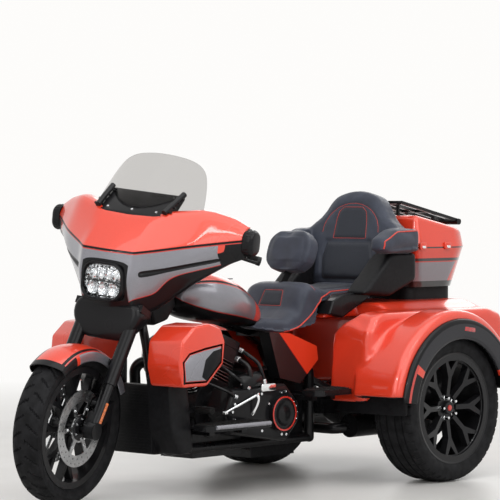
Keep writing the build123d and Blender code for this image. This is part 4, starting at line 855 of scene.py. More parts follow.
class TRIKE_OT_headlamp(bpy.types.Operator):
    """Make the headlamp: bezel, lens and the lamp units behind it"""

    bl_idname = "trike.headlamp"
    bl_label = "Headlamp"

    # Rings of the bezel, the lens and the housing: width, height, corner and X
    BEZEL = ((204, 162, 56, 836), (206, 164, 58, 870), (200, 158, 55, 881), (186, 146, 51, 883), (177, 137, 47, 873),
             (172, 132, 45, 848))
    LENS = ((175, 135, 46, 868), (152, 114, 40, 874), (112, 80, 30, 878), (50, 34, 14, 880))
    HOUSING = ((174, 134, 46, 858), (160, 120, 40, 846), (20, 12, 5, 843))
    # Bowls of the lower lamp, and the mirrors of the upper one
    UNITS = ((-50, -31), (0, -31), (50, -31))
    RIBS = 9
    RIB_PITCH = 17.5
    RIB_TURN = 24.0

    def execute(self, context):
        bm = bmesh.new()
        loft(bm, [self.ring(*row) for row in self.BEZEL], closed=True)
        bezel = piece("headlamp_bezel", bm, ("gloss_black",), "front_end", ("headlamp",), turn=True)
        subdivide(bezel, 1)

        bm = bmesh.new()
        loft(bm, [self.ring(*row) for row in self.LENS], closed=True)
        tip = [e for e in bm.edges if e.is_boundary and e.verts[0].co.x > 0.8795]
        bmesh.ops.edgeloop_fill(bm, edges=tip)
        outward(bm, (800, 0, HEADLAMP_Z))
        lens = piece("headlamp_lens", bm, ("lamp_glass",), "front_end", turn=True)
        subdivide(lens, 1, 0.002)

        bm = bmesh.new()
        loft(bm, [self.ring(*row) for row in self.HOUSING], closed=True)
        for y, z in self.UNITS:
            at = Vector((848, y, HEADLAMP_Z + z)) * MM
            turned_disc(bm, ((27, 12), (26, 14), (20, 7), (11, 3), (0, 2)), at, (1, 0, 0), 20)
            turned_disc(bm, ((8, 2), (7.5, 7), (5, 10), (0, 11)), at, (1, 0, 0), 16, material=1)
        for k in range(self.RIBS):
            self.rib(bm, self.RIB_PITCH * (k - (self.RIBS - 1) / 2), self.RIB_TURN if k % 2 else -self.RIB_TURN)
        bar = [(y, HEADLAMP_Z + z) for y, z in ((-84, -2), (84, -2), (84, 2), (-84, 2))]
        slab(bm, bar, 846, 864, "X", 2, 1.0)
        bmesh.ops.recalc_face_normals(bm, faces=bm.faces)
        piece("headlamp_units", bm, ("reflector", "lamp_glass", "black_plastic"), "front_end",
              turn=True)
        return {"FINISHED"}

    @staticmethod
    def rib(bm, y, turn):
        """A tall mirror of the upper lamp, turned a little from its neighbours."""
        before = set(bm.verts)
        tall = 58 - abs(y) * 0.22
        face = [(y + a, HEADLAMP_Z + z) for a, z in ((-8, 5), (8, 5), (8, tall), (-8, tall))]
        slab(bm, face, 846, 856, "X", 0, 1.0)
        bmesh.ops.rotate(bm, cent=Vector((850, y, HEADLAMP_Z)) * MM, matrix=Matrix.Rotation(radians(turn), 3, "Z"),
                         verts=[v for v in bm.verts if v not in before])

    @staticmethod
    def ring(width, height, corner, x):
        return [(x, y, HEADLAMP_Z + z) for y, z in rounded(width, height, corner)]


# Windscreen: its foot, lean and bend, then height up the screen and half width of each row
SCREEN_FOOT = Vector((700.0, 0.0, 1190.0))
SCREEN_LEAN = radians(40.0)
SCREEN_BEND = 400.0
SCREEN_ROWS = ((0, 252), (40, 264), (90, 266), (150, 257), (210, 243), (260, 228), (295, 212), (316, 192),
               (328, 164), (332, 132))
# Vent behind the screen's foot: outline as X and Z, half width at its front, and share that it widens by in a length
VENT_OUTLINE = ((722, 1168), (708, 1196), (566, 1284), (548, 1270), (610, 1200), (660, 1150))
VENT_HALF = 158.0
VENT_FLARE = 0.10
VENT_LENGTH = 0.16
# Clips at the screen's sides: their ribs' pitch to the back and up
CLIP_PITCH = (30.0, 18.6)


class TRIKE_OT_screen(bpy.types.Operator):
    """Bend the smoked windscreen and add the clips and the vent at its foot"""

    bl_idname = "trike.screen"
    bl_label = "Windscreen"

    def execute(self, context):
        bm = bmesh.new()
        shares = np.linspace(-1.0, 1.0, 17)
        loft(bm, [[self.at(share * half, tall) for share in shares] for tall, half in SCREEN_ROWS])
        outward(bm, (300, 0, 1100))
        screen = piece("screen", bm, ("smoked_screen",), "front_end", ("windscreen",), turn=True)
        subdivide(screen, 1, 0.0045)

        bm = bmesh.new()
        for side in (-1, 1):
            along = [(700, side * 164, 1212), (640, side * 171, 1250), (574, side * 178, 1290)]
            rod(bm, [Vector(p) * MM for p in along], 0.013)
            for k in range(4):
                x, rise = 684 - CLIP_PITCH[0] * k, CLIP_PITCH[1] * k
                rib = ((x, side * 152, 1215 + rise), (x, side * 190, 1218 + rise))
                rod(bm, [Vector(p) * MM for p in rib], 0.005)
        for y in (-120, 0, 120):
            bolt(bm, Vector((690, y, 1209)) * MM, (0.53, 0.0, 0.85), 0.006, 1)
        piece("screen_clips", bm, ("black_metal", "chrome"), "front_end", turn=True)

        bm = bmesh.new()
        slab(bm, VENT_OUTLINE, -VENT_HALF, VENT_HALF)
        for v in bm.verts:
            v.co.y *= 1.0 + (VENT_OUTLINE[0][0] * MM - v.co.x) * VENT_FLARE / VENT_LENGTH
        bmesh.ops.bevel(bm, geom=bm.edges[:], offset=0.009, affect="EDGES", segments=3, profile=0.5, material=-1)
        piece("vent_panel", bm, ("gloss_black",), "front_end", ("screen_vent",), turn=True)
        return {"FINISHED"}

    @staticmethod
    def at(y, tall):
        back = SCREEN_BEND - sqrt(SCREEN_BEND ** 2 - y ** 2)
        x = SCREEN_FOOT.x - sin(SCREEN_LEAN) * tall - cos(SCREEN_LEAN) * back
        z = SCREEN_FOOT.z + cos(SCREEN_LEAN) * tall - sin(SCREEN_LEAN) * back
        return (x, y, z)


# Tank: X, half width, low and top, from the front
TANK_FORM = ((456, 60, 826, 896), (440, 102, 790, 918), (340, 178, 733, 952), (240, 184, 715, 940),
             (140, 182, 703, 908), (40, 146, 694, 848), (-40, 100, 690, 790), (-64, 66, 704, 768))
# Angles round its section from the top, and the angle and finish of each colour's lower border
TANK_ANGLES = (90, 74, 58, 46, 39, 36, 28, 26, 23, 8, -12, -30, -33, -35, -38, -56, -74)
TANK_BORDERS = ((36, ORANGE), (28, BLACK), (26, PIN), (-33, GRAPHITE), (-35, PIN), (-90, BLACK))
TANK_PANEL_STEPS = 5
# Cover over the frame's neck, ahead of the tank: X and Z
NECK_OUTLINE = ((450, 800), (500, 738), (586, 716), (602, 790), (560, 858), (470, 890))


class TRIKE_OT_tank(bpy.types.Operator):
    """Form the fuel tank with its stripes and filler cap, and the cover ahead of it"""

    bl_idname = "trike.tank"
    bl_label = "Fuel tank"

    def execute(self, context):
        left = list(TANK_ANGLES) + [-90]
        angles = left + [180 - a for a in reversed(left[1:-1])]
        bm = bmesh.new()
        loft(bm, [self.loop(row, angles) for row in TANK_FORM], closed=True, caps=True,
             bands=lambda step, i: self.colour(step, angles[i], angles[(i + 1) % len(angles)]))
        tank = piece("tank_shell", bm, SHELL, "chassis", ("fuel_tank",))
        subdivide(tank, 2)

        bm = bmesh.new()
        at = Vector((262, 0, 938)) * MM
        turned_disc(bm, ((46, 0), (46, 6), (43, 9), (36, 10), (34, 13), (20, 15), (0, 16)), at, (0.09, 0.0, 1.0))
        slab(bm, ((330, 26), (300, 34), (160, 34), (60, 20), (60, -20), (160, -34), (300, -34), (330, -26)), 900, 904,
             "Z", 0)
        piece("tank_cap", bm, ("gloss_black",), "chassis")

        bm = bmesh.new()
        slab(bm, NECK_OUTLINE, -62, 62)
        bmesh.ops.bevel(bm, geom=bm.edges[:], offset=0.014, affect="EDGES", segments=4, profile=0.5, material=-1)
        piece("neck_cover", bm, ("black_plastic",), "chassis")
        return {"FINISHED"}

    @staticmethod
    def loop(row, angles):
        x, half, low, top = row
        points = []
        for a in angles:
            c, s = cos(radians(a)), sin(radians(a))
            y = half * (abs(c) ** 0.74) * (1 if c >= 0 else -1)
            z = (low + top) / 2 + (top - low) / 2 * (abs(s) ** 0.86) * (1 if s >= 0 else -1)
            points.append((x, y, z))
        return points

    @staticmethod
    def colour(step, a, b):
        """Index of the finish of a patch. The grey panel ends before the tail."""
        a, b = (v if -90 <= v <= 90 else 180 - v for v in (a, b))
        finish = next(finish for border, finish in TANK_BORDERS if (a + b) / 2 > border)
        return ORANGE if finish == GRAPHITE and step >= TANK_PANEL_STEPS else finish


# Front fender: half width and height over the tyre, from its edge to its ridge, and the rows of its lines
FENDER_ROWS = ((82, -38), (84, -22), (83, -6), (78, 3), (76, 5), (63, 12), (48, 17), (25, 22), (0, 24))
FENDER_LINE_ROW, FENDER_PIN_ROW = 4, 3
# Angles round the wheel from straight ahead, and those where the black tip ends and the orange and grey panels begin
FENDER_STATIONS = (52, 54, 57, 62, 68, 71, 75, 80, 90, 100, 112, 124, 136, 148, 153, 155)
FENDER_TIP, FENDER_ACCENT, FENDER_PANEL = 57, 71, 75
FRONT_TYRE_R = 319.5


class TRIKE_OT_fender(bpy.types.Operator):
    """Shape the front fender with its stripes"""

    bl_idname = "trike.fender"
    bl_label = "Front fender"

    def execute(self, context):
        rows = list(FENDER_ROWS) + [(-y, h) for y, h in reversed(FENDER_ROWS[:-1])]
        bm = bmesh.new()
        loft(bm, [[self.at(angle, y, h) for y, h in rows] for angle in FENDER_STATIONS],
             bands=lambda step, i: self.colour(step, min(i, len(rows) - 2 - i)))
        outward(bm, tuple(FRONT_AXLE / MM))
        fender = piece("fender_shell", bm, SHELL, "front_end", ("front_fender",), turn=True)
        subdivide(fender, 2, 0.0035)

        bm = bmesh.new()
        for side in (-1, 1):
            at = Vector((887.0, side * 86.0, 588.0)) * MM
            turned_disc(bm, ((0, -5), (15, -5), (15, 4), (12, 6), (0, 6)), at, (0, side, 0), 20)
            bolt(bm, at + Vector((0, side * 0.006, 0)), (0, side, 0), 0.006)
        piece("fender_lugs", bm, ("black_metal",), "front_end", turn=True)
        return {"FINISHED"}

    @staticmethod
    def at(angle, y, height):
        r = FRONT_TYRE_R + height
        return (FRONT_AXLE.x / MM + r * cos(radians(angle)), y, FRONT_AXLE.z / MM + r * sin(radians(angle)))

    @staticmethod
    def colour(step, row):
        angle = FENDER_STATIONS[step]
        if angle < FENDER_TIP or row == FENDER_LINE_ROW:
            return BLACK
        if row > FENDER_LINE_ROW:
            return ORANGE
        if row == FENDER_PIN_ROW:
            return PIN
        return BLACK if angle < FENDER_ACCENT else ORANGE if angle < FENDER_PANEL else GRAPHITE


# Lower fairings on the left: outlines of the pod, its panels and the leg, as X and Z
POD_OUTLINE = ((764, 562), (752, 668), (680, 728), (588, 738), (520, 716), (496, 660), (508, 566), (604, 480),
               (742, 480))
POD_PANEL = ((514, 654), (620, 640), (712, 622), (751, 586), (742, 494), (610, 494), (520, 574))
POD_RECESS = ((522, 634), (572, 624), (618, 590), (640, 520), (612, 502), (528, 578))
LEG_OUTLINE = ((706, 520), (600, 520), (560, 200), (640, 186), (690, 300))


def shrunk(outline, by):
    """A convex outline with every side moved in."""
    middle = Vector((sum(p[0] for p in outline), sum(p[1] for p in outline))) / len(outline)
    lines = []
    for a, b in zip(outline, outline[1:] + outline[:1]):
        a, b = Vector(a), Vector(b)
        normal = Vector((-(b - a).y, (b - a).x)).normalized()
        if normal.dot(middle - a) < 0:
            normal = -normal
        lines.append((a + normal * by, b - a))
    points = []
    for (p, d), (q, e) in zip(lines[-1:] + lines[:-1], lines):
        t = (q - p).cross(e) / d.cross(e)
        points.append(tuple(p + d * t))
    return tuple(points)


class TRIKE_OT_lowers(bpy.types.Operator):
    """Shape the lower fairings, their side panels and the centre grille"""

    bl_idname = "trike.lowers"
    bl_label = "Lower fairings"

    def execute(self, context):
        bm = bmesh.new()
        slab(bm, POD_OUTLINE, 205, 395, bevel=13, segments=5)
        layers = ((0.0, 2.0, BLACK), (9.0, 2.6, PIN), (12.0, 3.2, GRAPHITE))
        for inset, proud, finish in layers:
            slab(bm, shrunk(POD_PANEL, inset), 388, 393 + proud, material=finish, bevel=1.0, segments=2)
        plastic = len(SHELL)
        slab(bm, POD_RECESS, 388, 397, material=plastic, bevel=2.5, segments=2)
        slab(bm, LEG_OUTLINE, 140, 275, material=plastic, bevel=16, segments=4)
        both_sides(bm)
        piece("lower_pods", bm, SHELL + ("black_plastic",), "chassis", ("lower_fairings",))

        bm = bmesh.new()
        for k in range(22):
            z = 196 + 12.4 * k
            slab(bm, ((667, z), (671, z), (671, z + 4), (667, z + 4)), -128, 128, material=0)
        for y in (-131, 131):
            slab(bm, ((664, 190), (673, 190), (673, 472), (664, 472)), y - 5, y + 5, material=0, bevel=2)
        piece("cooler_fins", bm, ("black_plastic",), "chassis")
        return {"FINISHED"}


# Tyres: half section from the bead to the crown as distance from the middle and radius
FRONT_SECTION = ((43.3, 241.7), (43.3, 252.7), (55, 264), (64.2, 286), (61, 302), (51, 311.5), (40, 316.5),
                 (27, 319.2), (13, 319.5), (0, 319.5))
REAR_SECTION = ((90.8, 228.7), (90.8, 240), (101, 254), (107, 277), (105.5, 296), (101.5, 311), (90, 319),
                (76, 323.4), (62, 325.5), (40, 325.5), (20, 325.5), (0, 325.5))
# Half widths of the tread
FRONT_TREAD = 56.0
REAR_TREAD = 104.0
TREAD_STEPS = 288


class TRIKE_OT_tyres(bpy.types.Operator):
    """Spin the tyres and press their tread into them"""

    bl_idname = "trike.tyres"
    bl_label = "Tyres"

    def execute(self, context):
        depth = context.scene.trike_sizes.groove
        self.tyre("front_tread", FRONT_SECTION, FRONT_AXLE, "front_wheel", "front_tyre", FRONT_TREAD, depth,
                  self.front_groove)
        for name, side in (("left", 1), ("right", -1)):
            centre = Vector((REAR_AXLE.x, side * REAR_WHEEL_Y, REAR_AXLE.z))
            self.tyre(f"rear_tread_{name}", REAR_SECTION, centre, f"rear_wheel_{name}", f"rear_tyre_{name}",
                      REAR_TREAD, depth, self.rear_groove)
        return {"FINISHED"}

    def tyre(self, name, section, centre, body, node, tread, depth, groove):
        half = self.refined(section, tread)
        profile = [(r, -y) for y, r in half] + [(r, y) for y, r in reversed(half[:-1])]
        bm = bmesh.new()
        turned_disc(bm, profile, centre, (0, 1, 0), TREAD_STEPS)
        bmesh.ops.remove_doubles(bm, verts=bm.verts, dist=1e-6)
        bmesh.ops.recalc_face_normals(bm, faces=bm.faces)
        for v in bm.verts:
            out = v.co - centre
            y = out.y / MM
            out.y = 0.0
            if abs(y) < tread and out.length > section[-1][1] * MM * 0.95:
                angle = np.arctan2(out.z, out.x) / (2 * pi)
                v.co -= out.normalized() * depth * groove(angle, y)
        piece(name, bm, ("tyre",), body, (node,), sharp=25.0, turn=body == "front_wheel")

    @staticmethod
    def refined(section, tread):
        """The section with close points across the tread, for its grooves."""
        points = [section[0]]
        for a, b in zip(section, section[1:]):
            parts = max(1, round(abs(a[0] - b[0]) / 2.2)) if max(a[0], b[0]) <= tread else 2
            points += [tuple(p + (q - p) * k / parts for p, q in zip(a, b)) for k in range(1, parts + 1)]
        return points

    @staticmethod
    def front_groove(angle, y):
        """Curved grooves that sweep back from near the middle."""
        share = abs(y) / FRONT_TREAD
        turn = (angle * 30 + 0.55 * share ** 1.6 + (0.5 if y > 0 else 0.0)) % 1.0
        return 1.0 if share > 0.14 and turn < 0.13 else 0.0

    @staticmethod
    def rear_groove(angle, y):
        """Four grooves right round, with short cuts at the shoulders."""
        if any(abs(abs(y) - at) < 4.2 for at in (23.0, 62.0)):
            return 1.0
        turn = (angle * 48 + 0.004 * abs(y)) % 1.0
        return 0.8 if abs(y) > 70 and turn < 0.16 else 0.5 if 30 < abs(y) < 55 and turn < 0.10 else 0.0


class TRIKE_OT_wheel_trim(bpy.types.Operator):
    """Add the hub caps, wheel nuts and rim flanges"""

    bl_idname = "trike.wheel_trim"
    bl_label = "Wheel trim"

    def execute(self, context):
        lugs = context.scene.trike_sizes.lugs
        for name, side in (("left", 1), ("right", -1)):
            bm = bmesh.new()
            face = Vector((REAR_AXLE.x, side * (REAR_WHEEL_Y + 0.052), REAR_AXLE.z))
            axis = Vector((0, side, 0))
            turned_disc(bm, ((30, 0), (30, 14), (27, 19), (22, 20), (20, 18), (0, 18)), face, axis)
            turned_disc(bm, ((13, 18), (12, 21), (0, 22)), face, axis, material=2)
            for k in range(lugs):
                turn = 2 * pi * k / lugs
                at = face + Vector((cos(turn), 0, sin(turn))) * 0.046
                turned_disc(bm, ((10, 0), (10, 4), (8.5, 5), (8.5, 22), (6, 26), (0, 27)), at, axis, 6, 1)
            turned_disc(bm, ((224, 30), (230, 38), (238, 43), (246, 45), (249, 42), (247, 36)), face, axis, 96)
            turned_disc(bm, ((209, 30), (212, 32.5), (215, 30)), face, axis, 96)
            bmesh.ops.recalc_face_normals(bm, faces=bm.faces)
            piece(f"hub_trim_{name}", bm, ("wheel_black", "chrome", "pinstripe"), f"rear_wheel_{name}")

        bm = bmesh.new()
        for side in (-1, 1):
            face = FRONT_AXLE + Vector((0, side * 0.060, 0))
            axis = Vector((0, side, 0))
            turned_disc(bm, ((50, 0), (50, 3), (44, 6), (30, 8), (20, 8)), face, axis)
            for k in range(6):
                for part, r, proud in ((0.5, 0.040, 0.007), (0.0, 0.086, 0.001)):
                    turn = 2 * pi * (k + part) / 6
                    bolt(bm, face + Vector((cos(turn) * r, side * proud, sin(turn) * r)), axis, 0.006, 1)
        bmesh.ops.recalc_face_normals(bm, faces=bm.faces)
        piece("front_hub_trim", bm, ("wheel_black", "chrome"), "front_wheel", turn=True)
        return {"FINISHED"}


# Bands round the rear wheels: radius and face of each row on the left, angle and radius of the marker lamp, and
# stations by angle from straight ahead
BAND_ROWS = ((308, 676), (309, 690), (313, 694), (372, 694.8), (376, 694.8), (388, 694.2), (396, 690), (401, 677))
BAND_FINISHES = ("dark_graphite", "pinstripe", "gloss_black", "orange_paint")
BAND_DARK, BAND_PIN, BAND_BLACK, BAND_ORANGE = range(4)
BAND_MARKER = (98, 354)
BAND_STATIONS = (7, 12, 20, 29, 33, 42, 52, 62, 72, 82, 92, 102, 112, 122, 132, 142, 150, 154, 162, 168, 173)


class TRIKE_OT_fender_bands(bpy.types.Operator):
    """Shape the coloured bands round the rear wheels, their marker lamps and the valances"""

    bl_idname = "trike.fender_bands"
    bl_label = "Fender bands"

    def execute(self, context):
        bm = bmesh.new()
        loft(bm, [[self.at(angle, r, y) for r, y in BAND_ROWS] for angle in BAND_STATIONS], bands=self.colour)
        outward(bm, (REAR_AXLE.x / MM, 600, 500))
        both_sides(bm)
        for side in (-1, 1):
            faces = [f for f in bm.faces if f.calc_center_median().y * side > 0]
            if sum(f.normal.y * side * f.calc_area() for f in faces) < 0:
                bmesh.ops.reverse_faces(bm, faces=faces)
        bands = piece("band_faces", bm, BAND_FINISHES, "chassis", ("fender_bands",))
        subdivide(bands, 1, 0.004)

        bm = bmesh.new()
        angle, radius = BAND_MARKER
        lamp = [self.at(angle + a, radius + r, 0) for a, r in ((-6.4, -10), (6.4, -10), (5.6, 10), (-5.6, 10))]
        slab(bm, [(x, z) for x, _, z in lamp], 690, 695, bevel=2.0, segments=3)
        both_sides(bm)
        piece("marker_lamps", bm, ("red_lens",), "chassis")

        bm = bmesh.new()
        path = ((-330, 268), (-332, 420), (-338, 560), (-346, 640), (-352, 664))
        loft(bm, [[(x, y, z) for x, y in path] for z in (394, 372, 330, 312)])
        outward(bm, (-700, 300, 350))
        both_sides(bm)
        for f in bm.faces:
            if f.normal.x < 0:
                f.normal_flip()
        valance = piece("valances", bm, ("black_plastic",), "chassis")
        subdivide(valance, 2, 0.005)
        return {"FINISHED"}

    @staticmethod
    def at(angle, r, y):
        return (REAR_AXLE.x / MM + r * cos(radians(angle)), y, REAR_AXLE.z / MM + r * sin(radians(angle)))

    @staticmethod
    def colour(step, row):
        """Index of the finish of a patch: black rim and ends, orange tips with a thin line, and dark grey between."""
        angle = BAND_STATIONS[step]
        tip = angle < 33 or angle >= 150
        if row >= 4:
            return BAND_BLACK
        if row == 3:
            return BAND_PIN if tip else BAND_DARK
        if angle < 29 or angle >= 154:
            return BAND_BLACK
        return BAND_ORANGE if tip else BAND_DARK


# Body over the rear wheels: its shoulder between the trunk and the fender sinks by this much, between these half
# widths and heights
SHOULDER_DROP = 0.034
SHOULDER = (0.30, 0.43, 0.47, 0.53)
SHOULDER_Z = (0.62, 0.74)
# Space of the trunk, and the wheel wells, whose faces are lined in black
TRUNK_MIDDLE = Vector((-1.0475, 0.0, 0.603))
TRUNK_HALF = (0.2535, 0.297, 0.178)
WELL_R = 0.378
WELL_FROM = 0.40
# Panel over the trunk's opening, above the door: X and Z
TRUNK_HEADER = ((-1176, 788), (-1222, 776), (-1264, 761), (-1282, 743))


class TRIKE_OT_body(bpy.types.Operator):
    """Ease the body and the arm rests, line the trunk and the wheel wells, and close the trunk's top"""

    bl_idname = "trike.body"
    bl_label = "Body"

    def execute(self, context):
        mesh = softened("rear_body", 0.0095, 12)
        places = places_of(mesh)
        side = np.abs(places[:, 1])
        sunk = np.interp(side, SHOULDER, (0.0, 1.0, 1.0, 0.0)) * np.interp(places[:, 2], SHOULDER_Z, (0.0, 1.0))
        places[:, 2] -= SHOULDER_DROP * smooth_step(sunk)
        mesh.vertices.foreach_set("co", places.reshape(-1))
        bm = taken(mesh)
        for face in bm.faces:
            face.material_index = 1 if self.lined(face) else 0
        piece("body_shell", bm, ("orange_paint", "black_plastic"), "chassis", ("rear_body",),
              sharp=80.0)

        bm = bmesh.new()
        loft(bm, [[(x, y, z) for x, z in TRUNK_HEADER] for y in (-302, -150, 0, 150, 302)])
        outward(bm, (-1000, 0, 500))
        header = piece("trunk_header", bm, ("orange_paint",), "chassis")
        subdivide(header, 2, 0.005)

        bm = taken(softened("speaker_pods", 0.0075, 24))
        arms = piece("arm_rests", bm, ("black_plastic",), "chassis", ("speaker_pods",), sharp=80.0)
        subdivide(arms, 1)
        return {"FINISHED"}

    @staticmethod
    def lined(face):
        """Whether a face looks into a wheel well or the trunk, or down at the road."""
        middle = face.calc_center_median()
        out = middle - REAR_AXLE
        out.y = 0.0
        well = out.length < WELL_R and abs(middle.y) > WELL_FROM and out.dot(face.normal) < 0
        inner = middle - TRUNK_MIDDLE
        trunk = all(abs(p) < half for p, half in zip(inner, TRUNK_HALF)) and inner.dot(face.normal) < 0
        return well or trunk or face.normal.z < -0.8


# Engine as in the CAD: crank, half the angle between the banks, their fins, the primary cover and its round lid
CRANK = Vector((260.0, 0.0, 350.0))
V_HALF = 22.5
FIN_COUNT = 9
FIN_FROM = 112.5
FIN_PITCH = 13.875
PRIMARY_OUTLINE = ((320, 445), (360, 350), (320, 255), (-20, 201), (-105, 286), (-105, 366), (-20, 451))
PRIMARY_FACE = 268.0
CLUTCH_LID = Vector((20.0, 290.0, 326.0))


def bank_point(lean, reach, across, y):
    """A point of a cylinder in metres: out from the crank, along the bank's face and across the engine."""
    a = radians(lean)
    return (CRANK + Vector((sin(a), 0, cos(a))) * reach + Vector((cos(a), y, -sin(a)))
            + Vector((cos(a), 0, -sin(a))) * (across - 1.0)) * MM


class TRIKE_OT_engine(bpy.types.Operator):
    """Add the bright fin edges, covers, bolts, pushrod tubes, shift rod, starter and hoses"""

    bl_idname = "trike.engine"
    bl_label = "Engine trim"

    def execute(self, context):
        head = context.scene.trike_sizes.bolt
        bm = bmesh.new()
        ring = rounded(176, 146, 30, 3)
        for lean in (-V_HALF, V_HALF):
            for k in range(FIN_COUNT):
                reach = FIN_FROM + FIN_PITCH * k
                loop = [bank_point(lean, reach, across, y) for y, across in ring]
                rod(bm, loop + loop[:1], 0.0016, smooth=False)
        piece("fin_edges", bm, ("disc_steel",), "chassis")

        bm = bmesh.new()
        edge = shrunk(PRIMARY_OUTLINE, 31)
        spots = list(edge) + [tuple((Vector(a) + Vector(b)) / 2) for a, b in zip(edge, edge[1:] + edge[:1])]
        for x, z in spots:
            if (Vector((x, z)) - CLUTCH_LID.xz).length > 84:
                bolt(bm, Vector((x, PRIMARY_FACE + 2, z)) * MM, (0, 1, 0), head, 1)
        for k in range(6):
            a = 2 * pi * (k + 0.5) / 6
            at = Vector((CLUTCH_LID.x + 90 * cos(a), PRIMARY_FACE + 1.5, CLUTCH_LID.z + 90 * sin(a)))
            bolt(bm, at * MM, (0, 1, 0), head, 1)
        turned_disc(bm, ((75, 0), (75, 1.8), (69, 2.4), (68, 0)), CLUTCH_LID * MM, (0, 1, 0), 64, 2)
        turned_disc(bm, ((68, 0.4), (66, 1.8), (52, 2.2), (50, 1.2), (22, 1.2), (20, 2.4), (0, 2.6)),
                    CLUTCH_LID * MM, (0, 1, 0), 64, 0)
        for lean in (-V_HALF, V_HALF):
            for across in (-60, 60):
                for y in (-58, 58):
                    bolt(bm, bank_point(lean, 323, across, y), (sin(radians(lean)), 0, cos(radians(lean))), head, 1)
        piece("cover_bolts", bm, ("black_metal", "chrome", "pinstripe"), "chassis")

        bm = bmesh.new()
        ring = rounded(124, 104, 24, 4)
        loft(bm, [[tuple(bank_point(-V_HALF, reach, across * s, y * s) / MM) for y, across in ring]
                  for reach, s in ((290, 1.0), (318, 1.0), (326, 0.94), (328, 0.80))], closed=True, caps=True)
        piece("rear_rocker_cap", bm, ("orange_paint",), "chassis")

        bm = bmesh.new()
        for lean in (-V_HALF, V_HALF):
            for across in (-24, 24):
                rod(bm, [bank_point(lean, 96, across, -112), bank_point(lean, 286, across, -92)], 0.009, smooth=False)
        rod(bm, [Vector(p) * MM for p in ((379, 280, 350), (182, 280, 415))], 0.005, smooth=False)
        for at in ((379, 280, 350), (182, 280, 415)):
            turned_disc(bm, ((9, -7), (9, 7), (0, 8)), Vector(at) * MM, (0, 1, 0), 16)
        rod(bm, [Vector(p) * MM for p in ((182, 270, 415), (182, 290, 415), (190, 290, 372), (205, 270, 330))], 0.007)
        slab(bm, [(104 + a, 442 + b) for a, b in rounded(92, 34, 9, 3)], 236, 278, bevel=5, segments=3)
        piece("rods", bm, ("chrome",), "chassis")
        self.air_cleaner()
        self.hoses()
        return {"FINISHED"}

    # Hoses and lines on the left of the engine: radius in metres, then their points
    HOSES = (
        (0.011, ((214, 190, 566), (210, 246, 548), (196, 258, 496), (206, 246, 440), (226, 214, 426))),
        (0.008, ((330, 168, 560), (318, 236, 520), (262, 262, 476), (214, 258, 446))),
        (0.008, ((150, 150, 600), (132, 232, 560), (118, 250, 506), (104, 250, 462))),
        (0.006, ((430, 200, 480), (372, 262, 448), (330, 274, 424), (296, 262, 410))),
    )

    def hoses(self):
        bm = bmesh.new()
        for radius, points in self.HOSES:
            rod(bm, [Vector(p) * MM for p in points], radius)
            r = radius / MM
            for end, after in (points[:2], points[:-3:-1]):
                axis = (Vector(after) - Vector(end)).normalized()
                turned_disc(bm, ((0, -2), (r + 3, -2), (r + 3, 14), (r, 16)), Vector(end) * MM, axis, 16, 1)
        piece("engine_hoses", bm, ("black_metal", "disc_steel"), "chassis")

        bm = bmesh.new()
        turned_disc(bm, ((0, -60), (34, -60), (36, -56), (36, 52), (31, 60), (12, 62), (0, 62)),
                    Vector((196, 236, 470)) * MM, (1, 0, -0.12), 32)
        for k in range(3):
            a = 2 * pi * k / 3
            bolt(bm, Vector((257, 236 + 22 * cos(a), 463 + 22 * sin(a))) * MM, (1, 0, -0.12), 0.005, 1)
        piece("starter", bm, ("gloss_black", "chrome"), "chassis")

    def air_cleaner(self):
        bm = bmesh.new()
        at = Vector((270, -238, 560)) * MM
        turned_disc(bm, ((92, -2), (92, 1), (84, 3), (80, 2), (40, 2), (36, 4), (0, 5)), at, (0, -1, 0), 48)
        turned_disc(bm, ((96, -1), (95, 2), (93, 2)), at, (0, -1, 0), 48, 1)
        for k in range(3):
            a = 2 * pi * k / 3
            bolt(bm, at + Vector((0.060 * cos(a), -0.003, 0.060 * sin(a))), (0, -1, 0), 0.006, 2)
        piece("air_cleaner_trim", bm, ("gloss_black", "pinstripe", "chrome"), "chassis")


class TRIKE_OT_footboards(bpy.types.Operator):
    """Lay ribbed rubber on the footboards and the pedals, and trim the boards' edges"""

    bl_idname = "trike.footboards"
    bl_label = "Footboard rubbers"

    # Front and rear end, inner and outer side, height and number of ribs
    BOARDS = ((590, 200, 272, 400, 312, 11), (-58, -296, 300, 420, 424, 7))

    def execute(self, context):
        bm = bmesh.new()
        for front, rear, inner, outer, top, ribs in self.BOARDS:
            mid = ((front + rear) / 2, (inner + outer) / 2)
            plan = [(mid[0] + a, mid[1] + b) for a, b in rounded(front - rear - 24, outer - inner - 20, 32)]
            slab(bm, plan, top - 1, top + 4, "Z", bevel=1.5, segments=2)
            for k in range(ribs):
                x = rear + 46 + (front - rear - 92) * k / (ribs - 1)
                rib = ((x - 5, inner + 20), (x + 5, inner + 20), (x + 5, outer - 20), (x - 5, outer - 20))
                slab(bm, rib, top + 3, top + 8, "Z", bevel=2, segments=2)
        turned_disc(bm, ((0, -46), (15, -46), (16, -40), (16, 40), (15, 46), (0, 46)), Vector((530, 304, 372)) * MM,
                    (0, 1, 0), 20)
        both_sides(bm)
        piece("board_rubbers", bm, ("grip_rubber",), "chassis")

        bm = bmesh.new()
        front, rear, _, outer, top, _ = self.BOARDS[0]
        rod(bm, [Vector((x, outer, top - 6)) * MM for x in (front - 30, rear + 30)], 0.009, smooth=False)
        both_sides(bm)
        piece("board_edges", bm, ("graphite_paint",), "chassis")
        return {"FINISHED"}


# Height of the mirrors' middles; the dials' half width, height, radius and X
MIRROR_Z = 1118.0
DIALS = ((122, 1140, 40, 650), (-122, 1140, 40, 650), (262, 1116, 56, 580), (-262, 1116, 56, 580))


